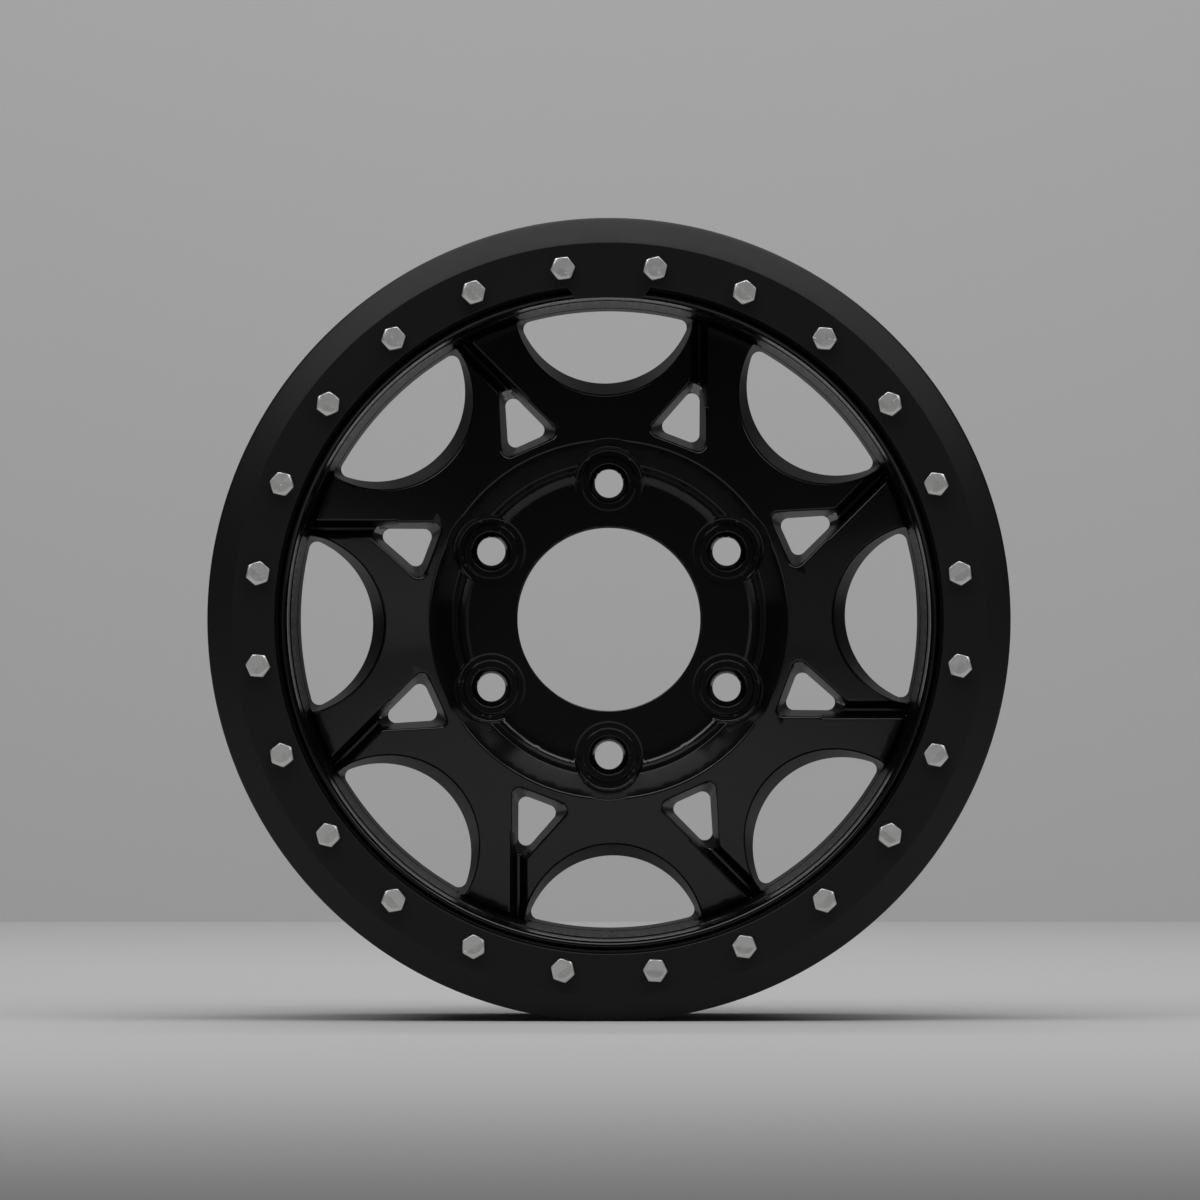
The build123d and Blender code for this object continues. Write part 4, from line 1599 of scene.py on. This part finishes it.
class RingForm:
    """Surfaces of the clamp ring."""

    def __init__(self, ring, hardware, rim):
        self.r = ring
        self.hardware = hardware
        self.join_radius = ring.outer_radius - 0.0003
        start_radius = 0.150
        self.front = Profile(
            [
                (start_radius, ring.front_height, 0),
                (ring.bevel_radius, ring.front_height, 0.0009),
                (ring.outer_radius - 0.0008, ring.front_height - ring.bevel_drop + 0.0004, 0.0005),
                (ring.outer_radius, ring.front_height - ring.bevel_drop - 0.0004, 0),
            ]
        )
        back_edge = ring.front_height - ring.bevel_drop - ring.edge_thickness
        seat_radius = rim.shoulder_radius + ring.seat_overhang
        self.back = Profile(
            [
                (start_radius, -ring.back_height, 0),
                (seat_radius, -ring.back_height, 0.0008),
                (ring.outer_radius - 0.0008, -back_edge, 0.0005),
                (ring.outer_radius, -back_edge - 0.0008, 0),
            ]
        )
        root = ring.inner_radius + 0.001
        self.root = (ring.tab_root_half, math.sqrt(root**2 - ring.tab_root_half**2))
        self.tip = (ring.tab_tip_half, math.sqrt(ring.tab_tip_radius**2 - ring.tab_tip_half**2))

    def plan(self, u, v):
        """Distance inwards from the ring's bore and tab."""
        ring = self.r
        r = np.hypot(u, v)
        along = (self.tip[0] - self.root[0], self.tip[1] - self.root[1])
        size = math.hypot(*along)
        normal = (-along[1] / size, along[0] / size)
        side = (np.abs(u) - self.root[0]) * normal[0] + (v - self.root[1]) * normal[1]
        tab = rounded_max(side, ring.tab_tip_radius - r, ring.tab_corner, 0.55)
        tab = np.where(v > 0, tab, 1.0)
        return rounded_min(tab, ring.inner_radius - r, 0.0006)

    def front_shape(self, u, v, h):
        """Distance outside the front of the ring."""
        shape = self.front.distance(np.hypot(u, v), h)
        return rounded_max(shape, self.plan(u, v), self.r.edge_round)

    def back_shape(self, u, v, h):
        """Distance outside the back of the ring, with height measured to the rear."""
        return self.back.distance(np.hypot(u, v), h) + 0 * u

    def mesh(self):
        """The whole ring in one closed mesh."""
        ring = self.r
        parts = MeshParts()
        column = math.radians(1.5)
        coarse = np.arange(math.radians(9), math.radians(351) + 1e-6, column)
        fine = np.linspace(math.radians(-9), math.radians(9), 121)[1:-1]
        bearings = np.concatenate([coarse, fine])
        inner = traced(lambda u, v: -self.plan(u, v), (0.0, 0.0), bearings, 0.2)
        bore = circle_points(ring.inner_radius, bearings)
        edge = circle_points(self.join_radius, np.arange(0, 240) * column)
        around = np.linspace(0, FULL_TURN, 28, endpoint=False)
        count = self.hardware.bolt_count
        holes = []
        for index in range(count):
            turn = (index + 0.5) * FULL_TURN / count
            spot = np.array((math.sin(turn), math.cos(turn))) * self.hardware.circle_radius
            holes.append(circle_points(ring.hole_radius, around) + spot)
        flats = grid_seeds((-0.206, -0.206), (0.206, 0.206), 0.006)
        for back in (False, True):
            shape = self.back_shape if back else self.front_shape
            profile = self.back if back else self.front
            low, high = (-0.08, -0.05) if back else (0.05, 0.08)
            inside = bore if back else inner
            inside_height = -ring.back_height if back else ring.front_height - ring.edge_round
            top = -ring.back_height if back else ring.front_height
            heights = surface_height(shape, edge[:, 0], edge[:, 1], low, high)
            radii = profile.rows(ring.inner_radius, self.join_radius)
            families = [ring_rows(radii, 0, FULL_TURN - column, column)]
            if not back:
                away = -outward(self.plan, inner)
                families.append(ray_rows(shape, inner, away, 0.0010, low, high))
            rows, links = gathered([family + family[:1] for family in families])
            spread = thinned(flats, np.concatenate([rows, edge, inside] + holes), 0.002)
            patch_holes = [inside] + holes
            patch_heights = [np.full(len(inside), inside_height)] + [np.full(len(h), top) for h in holes]
            points, raised, triangles = relief_mesh(
                shape, edge, heights, patch_holes, patch_heights, np.concatenate([rows, spread]), links,
                low, high, 1, 2.0,
            )
            parts.add_relief(points, raised, triangles, RING_BACK if back else RING_FRONT, back)
        under = ring.front_height - ring.tab_thickness
        flat = np.ones(len(inner))
        parts.add_wall(inner, flat * (ring.front_height - ring.edge_round), flat * under, RING_INNER, True)
        parts.add_wall(bore, flat * under, flat * ring.back_height, RING_INNER, True)
        for hole in holes:
            flat_hole = np.ones(len(hole))
            parts.add_wall(hole, flat_hole * ring.front_height, flat_hole * ring.back_height, RING_HOLE, True)
        n = len(inner)
        plan = np.concatenate([inner, bore])
        loops = np.stack([plan[:, 0], np.full(2 * n, -under), plan[:, 1]], axis=1)
        apart = np.linalg.norm(inner - bore, axis=1) > 2 * MICRON
        tab_faces = []
        for i in range(n):
            j = (i + 1) % n
            if apart[i] or apart[j]:
                corners = [i, j]
                corners += [n + j] if apart[j] else []
                corners += [n + i] if apart[i] else []
                tab_faces.append(corners)
        parts.add(loops, tab_faces, TAB_BACK)
        front_edge = float(np.interp(self.join_radius, self.front.radii, self.front.heights))
        back_edge = -float(np.interp(self.join_radius, self.back.radii, self.back.heights))
        section, self.edge_normals = rounded_profile(
            [
                (self.join_radius, front_edge, 0),
                (ring.outer_radius, front_edge - 0.0003, 0.0003),
                (ring.outer_radius, back_edge + 0.0003, 0.0003),
                (self.join_radius, back_edge, 0),
            ],
            3,
        )
        self.edge_points = section
        rim_mesh = turned_wedge(section, np.arange(0, 241) * column, RING_EDGE, "ring_edge")
        return parts.mesh("ring_faces"), rim_mesh


class WHEEL_OT_ring(WheelPiece, bpy.types.Operator):
    """Build the clamp ring with its bevel, bolt holes and bare tab"""

    bl_idname = "wheel.ring"
    bl_label = "Clamp ring"

    def execute(self, context):
        scene = context.scene
        form = RingForm(scene.wheel_ring, scene.wheel_hardware, scene.wheel_rim)
        finish = satin_black(scene.wheel_finish)
        ring = welded_mesh("clamp_ring", form.mesh())
        whole = FULL_TURN
        hardware = scene.wheel_hardware
        pitch = whole / hardware.bolt_count

        def bolt_holes(u, v):
            a, b, _ = folded(u, v, pitch, 0.0)
            a, b = turned(a, b, pitch / 2)
            return np.hypot(a, b - hardware.circle_radius)

        rules = {
            RING_FRONT: relief_rule(form.front_shape, whole, -math.pi, False),
            RING_BACK: relief_rule(form.back_shape, whole, -math.pi, True),
            RING_INNER: wall_rule(lambda u, v: -form.plan(u, v), whole, -math.pi),
            RING_HOLE: wall_rule(bolt_holes, whole, -math.pi),
            RING_EDGE: profile_rule(form.edge_points, form.edge_normals),
            TAB_BACK: flat_back,
        }
        set_corner_normals(ring, rules)
        stand("finished_clamp_ring", ring, finish, "beadlock_ring")
        return {"FINISHED"}


class HeadForm:
    """Top of a hex head with a chamfered rim and one ground step."""

    def __init__(self, hardware):
        self.w = hardware

    def plan(self, u, v):
        """Distance outside the hexagon, its corners slightly rounded."""
        half = self.w.head_flats / 2
        sides = []
        for step in range(3):
            turn = math.radians(60 * step)
            sides.append(np.abs(u * math.sin(turn) + v * math.cos(turn)) - half)
        whole = rounded_max(sides[0], sides[1], 0.0005, 0.5)
        return rounded_max(whole, sides[2], 0.0005, 0.5)

    def shape(self, u, v, h):
        """Distance outside the head."""
        w = self.w
        ramp_width, high_slope, low_slope, cone_slope = 0.0007, 0.12, 0.02, 0.5
        ramp = np.clip(v / ramp_width + 0.5, 0, 1)
        high_half = w.head_height - h - high_slope * np.minimum(v, 0)
        low_half = w.head_height - w.step_depth - h + low_slope * np.maximum(v, 0)
        top = -(high_half * (1 - ramp) + low_half * ramp) / math.hypot(1, w.step_depth / ramp_width)
        cone = (np.hypot(u, v) - w.chamfer_radius) * cone_slope + h - w.head_height
        cone = cone / math.hypot(1, cone_slope)
        shape = rounded_max(top, cone, 0.0002)
        return rounded_max(shape, self.plan(u, v), 0.00025)

    def mesh(self):
        """Head and shank with their foot at the origin."""
        w = self.w
        parts = MeshParts()
        around = np.linspace(0, FULL_TURN, 48, endpoint=False)
        edge = traced(self.plan, (0.0, 0.0), around, 0.02) * (1 - 1e-6)
        inset = traced(lambda u, v: self.plan(u, v) + 0.0001, (0.0, 0.0), around, 0.02)
        shape = self.shape
        heights = surface_height(shape, inset[:, 0], inset[:, 1], 0.0, 0.006) - 0.00025
        spread = grid_seeds((-0.007, -0.007), (0.007, 0.007), 0.0009)
        along = np.linspace(-0.005, 0.005, 15)
        lines = [np.stack([along, np.full(15, v)], axis=1) for v in (-0.00037, 0.00037)]
        rings = ring_rows(np.array((0.0047, 0.0051, 0.0054)), 0, FULL_TURN, math.radians(7.5))
        rows = np.concatenate(lines + rings + [inset])
        spread = thinned(spread, np.concatenate([rows, edge]), 0.0004)
        links = np.concatenate([np.stack([line[:-1], line[1:]], axis=1) for line in lines])
        points, raised, triangles = relief_mesh(
            shape, edge, heights, [], [], np.concatenate([rows, spread]), links, 0.0, 0.006, 2, 2.0
        )
        parts.add_relief(points, raised, triangles, HEAD_TOP)
        flat = np.ones(len(edge))
        parts.add_wall(edge, heights, flat * 0.0, HEAD_SIDE, True)
        shank = circle_points(w.shank_radius, around)
        n = len(edge)
        foot = np.concatenate([edge, shank])
        foot = np.stack([foot[:, 0], np.zeros(2 * n), foot[:, 1]], axis=1)
        parts.add(foot, [(i, (i + 1) % n, n + (i + 1) % n, n + i) for i in range(n)], HEAD_BACK)
        parts.add_wall(shank, flat * 0.0, flat * -w.shank_length, SHANK, True)
        end = np.stack([shank[:, 0], np.full(n, w.shank_length), shank[:, 1]], axis=1)
        parts.add(end, [tuple(range(n))], HEAD_BACK)
        return parts.mesh("bolt")


def on_circle(name, fastener_mesh, hardware, height, turns, finish):
    """Mesh of a fastener repeated on the bolt circle."""
    source = bpy.data.objects.new(name + "_source", fastener_mesh)
    points = bpy.data.meshes.new(name + "_points")
    count = hardware.bolt_count
    bearings = (np.arange(count) + 0.5) * FULL_TURN / count
    spots = circle_points(hardware.circle_radius, bearings)
    points.from_pydata([(u, -height, v) for u, v in spots], [], [])
    points.attributes.new("turn", "FLOAT", "POINT").data.foreach_set("value", turns)
    made = grown(name, points, circle_tree(), {"Fastener": source, "Finish": finish})
    bpy.data.objects.remove(source)
    return made


class WHEEL_OT_bolts(WheelPiece, bpy.types.Operator):
    """Build the ring's hex bolts, each head turned as it was tightened"""

    bl_idname = "wheel.bolts"
    bl_label = "Ring bolts"

    def execute(self, context):
        scene = context.scene
        hardware = scene.wheel_hardware
        form = HeadForm(hardware)
        finish = bright_zinc(scene.wheel_finish)
        bolt = welded_mesh("bolt", [form.mesh()])

        def head_top(places):
            n = surface_normal(form.shape, places[:, 0], places[:, 2], -places[:, 1])
            return np.stack([n[:, 0], -n[:, 2], n[:, 1]], axis=1)

        def head_side(places):
            d = outward(form.plan, places[:, (0, 2)])
            return np.stack([d[:, 0], 0 * d[:, 0], d[:, 1]], axis=1)

        def shank(places):
            r = np.hypot(places[:, 0], places[:, 2])
            return np.stack([places[:, 0] / r, 0 * r, places[:, 2] / r], axis=1)

        rules = {HEAD_TOP: head_top, HEAD_SIDE: head_side, HEAD_BACK: flat_back, SHANK: shank}
        set_corner_normals(bolt, rules)
        turns = [math.radians(BOLT_TURNS[i % len(BOLT_TURNS)]) for i in range(hardware.bolt_count)]
        bolts = on_circle("bolts", bolt, hardware, hardware.seat_height, turns, finish)
        stand("finished_bolts", bolts, finish, "ring_bolts")
        return {"FINISHED"}


class WHEEL_OT_washers(WheelPiece, bpy.types.Operator):
    """Build the flat washers under the bolt heads"""

    bl_idname = "wheel.washers"
    bl_label = "Ring washers"

    def execute(self, context):
        scene = context.scene
        hardware, ring = scene.wheel_hardware, scene.wheel_ring
        finish = dark_plate(scene.wheel_finish)
        top, foot = hardware.washer_thickness, 0.0
        points, normals = rounded_profile(
            [
                (ring.hole_radius, top / 2, 0),
                (ring.hole_radius, top, 0.0002),
                (hardware.washer_radius, top, 0.0003),
                (hardware.washer_radius, foot, 0.0002),
                (ring.hole_radius, foot, 0.0002),
                (ring.hole_radius, top / 2, 0),
            ],
            3,
        )
        wedge = turned_wedge(points, np.linspace(0, FULL_TURN, 49), 0, "washer")
        washer = welded_mesh("washer", [wedge])
        set_corner_normals(washer, {0: profile_rule(points, normals)})
        height = ring.front_height
        washers = on_circle("washers", washer, hardware, height, [0.0] * hardware.bolt_count, finish)
        stand("finished_washers", washers, finish, "ring_washers")
        return {"FINISHED"}


# Floor, backdrop, lamps and camera
def plain_board(name, corners, material):
    """Flat board of the stage."""
    mesh = bpy.data.meshes.new(name)
    mesh.from_pydata(corners, [], [(0, 1, 2, 3)])
    mesh.materials.append(material)
    board = bpy.data.objects.new(name, mesh)
    bpy.context.scene.collection.objects.link(board)


def floor_finish(settings):
    """Pale matt floor with a faint variation."""
    finish = Finish("pale_floor")
    cloud = finish.noise(1.4, 3.0)
    base = tuple(settings.floor_colour)
    return finish.shaded(
        Base_Color=finish.blend(cloud, shade(base, 0.97), shade(base, 1.03)), Roughness=0.85
    )


def wall_finish(settings):
    """Pale matt backdrop that can be seen through from behind."""
    finish = Finish("pale_backdrop")
    cloud = finish.noise(1.0, 3.0)
    base = tuple(settings.floor_colour)
    tint = finish.blend(cloud, shade(base, 0.97), shade(base, 1.03))
    sheet = finish.sheet
    matt = sheet.add("ShaderNodeBsdfDiffuse", inputs={"Color": tint})
    clear = sheet.add("ShaderNodeBsdfTransparent")
    side = sheet.add("ShaderNodeNewGeometry")
    mixed = sheet.add(
        "ShaderNodeMixShader", inputs={0: side.outputs["Backfacing"], 1: matt.outputs[0], 2: clear.outputs[0]}
    )
    sheet.add("ShaderNodeOutputMaterial", inputs={"Surface": mixed.outputs[0]})
    return finish.material


def soft_lamp(name, place, target, size, power):
    """Rectangular soft lamp aimed at a point."""
    lamp = bpy.data.lights.new(name, "AREA")
    lamp.shape = "RECTANGLE"
    lamp.size, lamp.size_y = size
    lamp.energy = power
    body = bpy.data.objects.new(name, lamp)
    bpy.context.scene.collection.objects.link(body)
    body.location = place
    direction = [t - p for t, p in zip(target, place)]
    flat = math.hypot(direction[0], direction[1])
    body.rotation_euler = (math.atan2(flat, -direction[2]), 0, math.atan2(-direction[0], direction[1]))


class WHEEL_OT_stage(bpy.types.Operator):
    """Set up the floor, backdrop, lamps and camera"""

    bl_idname = "wheel.stage"
    bl_label = "Stage"

    def execute(self, context):
        scene = context.scene
        stage, ring, rim = scene.wheel_stage, scene.wheel_ring, scene.wheel_rim
        front = -ring.front_height
        floor_z = -rim.flange_radius
        wall_y = front + stage.wall_distance
        wide, near, tall, wall_wide = 1.7, -14.0, 1.3, 1.1
        plain_board(
            "floor",
            [
                (-wide, near, floor_z),
                (wide, near, floor_z),
                (wide, wall_y, floor_z),
                (-wide, wall_y, floor_z),
            ],
            floor_finish(stage),
        )
        plain_board(
            "backdrop",
            [
                (-wall_wide, wall_y, floor_z),
                (wall_wide, wall_y, floor_z),
                (wall_wide, wall_y, tall),
                (-wall_wide, wall_y, tall),
            ],
            wall_finish(stage),
        )
        lens = bpy.data.cameras.new("camera")
        lens.sensor_width = 36.0
        lens.lens = stage.focal_pixels / stage.picture_width * lens.sensor_width
        lens.clip_start, lens.clip_end = 0.1, 100.0
        camera = bpy.data.objects.new("camera", lens)
        camera.location = (stage.camera_right, front - stage.camera_distance, stage.camera_up)
        camera.rotation_euler = (math.radians(90), 0, 0)
        scene.collection.objects.link(camera)
        scene.camera = camera
        soft_lamp("overhead_lamp", (0.0, -0.6, 2.4), (0, 0, 0), (3.2, 2.4), 64)
        soft_lamp("left_panel", (-1.25, -4.6, 0.12), (0, 0, 0), (1.0, 0.62), 0.9)
        soft_lamp("right_panel", (1.25, -4.6, 0.12), (0, 0, 0), (1.0, 0.62), 0.35)
        soft_lamp("upper_left_lamp", (-1.7, -1.9, 1.9), (0, 0, 0), (1.0, 1.0), 9)
        soft_lamp("upper_right_lamp", (1.9, -1.9, 1.7), (0, 0, 0), (1.0, 1.0), 7)
        soft_lamp("backdrop_lamp", (0.0, 1.6, 2.4), (0, wall_y, 0.3), (2.4, 0.8), 40)
        world = bpy.data.worlds.new("room")
        world.use_nodes = True
        level = stage.world_level
        background = world.node_tree.nodes["Background"]
        background.inputs["Color"].default_value = (level, level, level, 1)
        scene.world = world
        scene.view_settings.view_transform = "Standard"
        return {"FINISHED"}


# Sidebar, registration and the run
class WHEEL_PT_panel(bpy.types.Panel):
    """Buttons and sizes of the wheel"""

    bl_idname = "WHEEL_PT_panel"
    bl_label = "Wheel"
    bl_space_type = "VIEW_3D"
    bl_region_type = "UI"
    bl_category = "Wheel"

    def draw(self, context):
        for operator in OPERATORS:
            self.layout.operator(operator.bl_idname)
        for name in GROUPS:
            box = self.layout.box()
            group = getattr(context.scene, name)
            for key in group.bl_rna.properties.keys():
                if key not in ("rna_type", "name"):
                    box.prop(group, key)


GROUPS = {
    "wheel_hub": HubSizes,
    "wheel_spokes": SpokeSizes,
    "wheel_rim": RimSizes,
    "wheel_ring": RingSizes,
    "wheel_hardware": HardwareSizes,
    "wheel_finish": FinishColours,
    "wheel_stage": StageSettings,
}
OPERATORS = (WHEEL_OT_casting, WHEEL_OT_ring, WHEEL_OT_bolts, WHEEL_OT_washers, WHEEL_OT_stage)


def register():
    """Registers the groups, operators and panel."""
    for name, group in GROUPS.items():
        bpy.utils.register_class(group)
        setattr(bpy.types.Scene, name, PointerProperty(type=group))
    for operator in OPERATORS:
        bpy.utils.register_class(operator)
    bpy.utils.register_class(WHEEL_PT_panel)


def unregister():
    """Takes the groups, operators and panel out again."""
    bpy.utils.unregister_class(WHEEL_PT_panel)
    for operator in reversed(OPERATORS):
        bpy.utils.unregister_class(operator)
    for name, group in reversed(GROUPS.items()):
        delattr(bpy.types.Scene, name)
        bpy.utils.unregister_class(group)


def main():
    """Builds every piece and the stage."""
    register()
    bpy.ops.wheel.casting()
    bpy.ops.wheel.ring()
    bpy.ops.wheel.bolts()
    bpy.ops.wheel.washers()
    bpy.ops.wheel.stage()


if __name__ == "__main__":
    main()
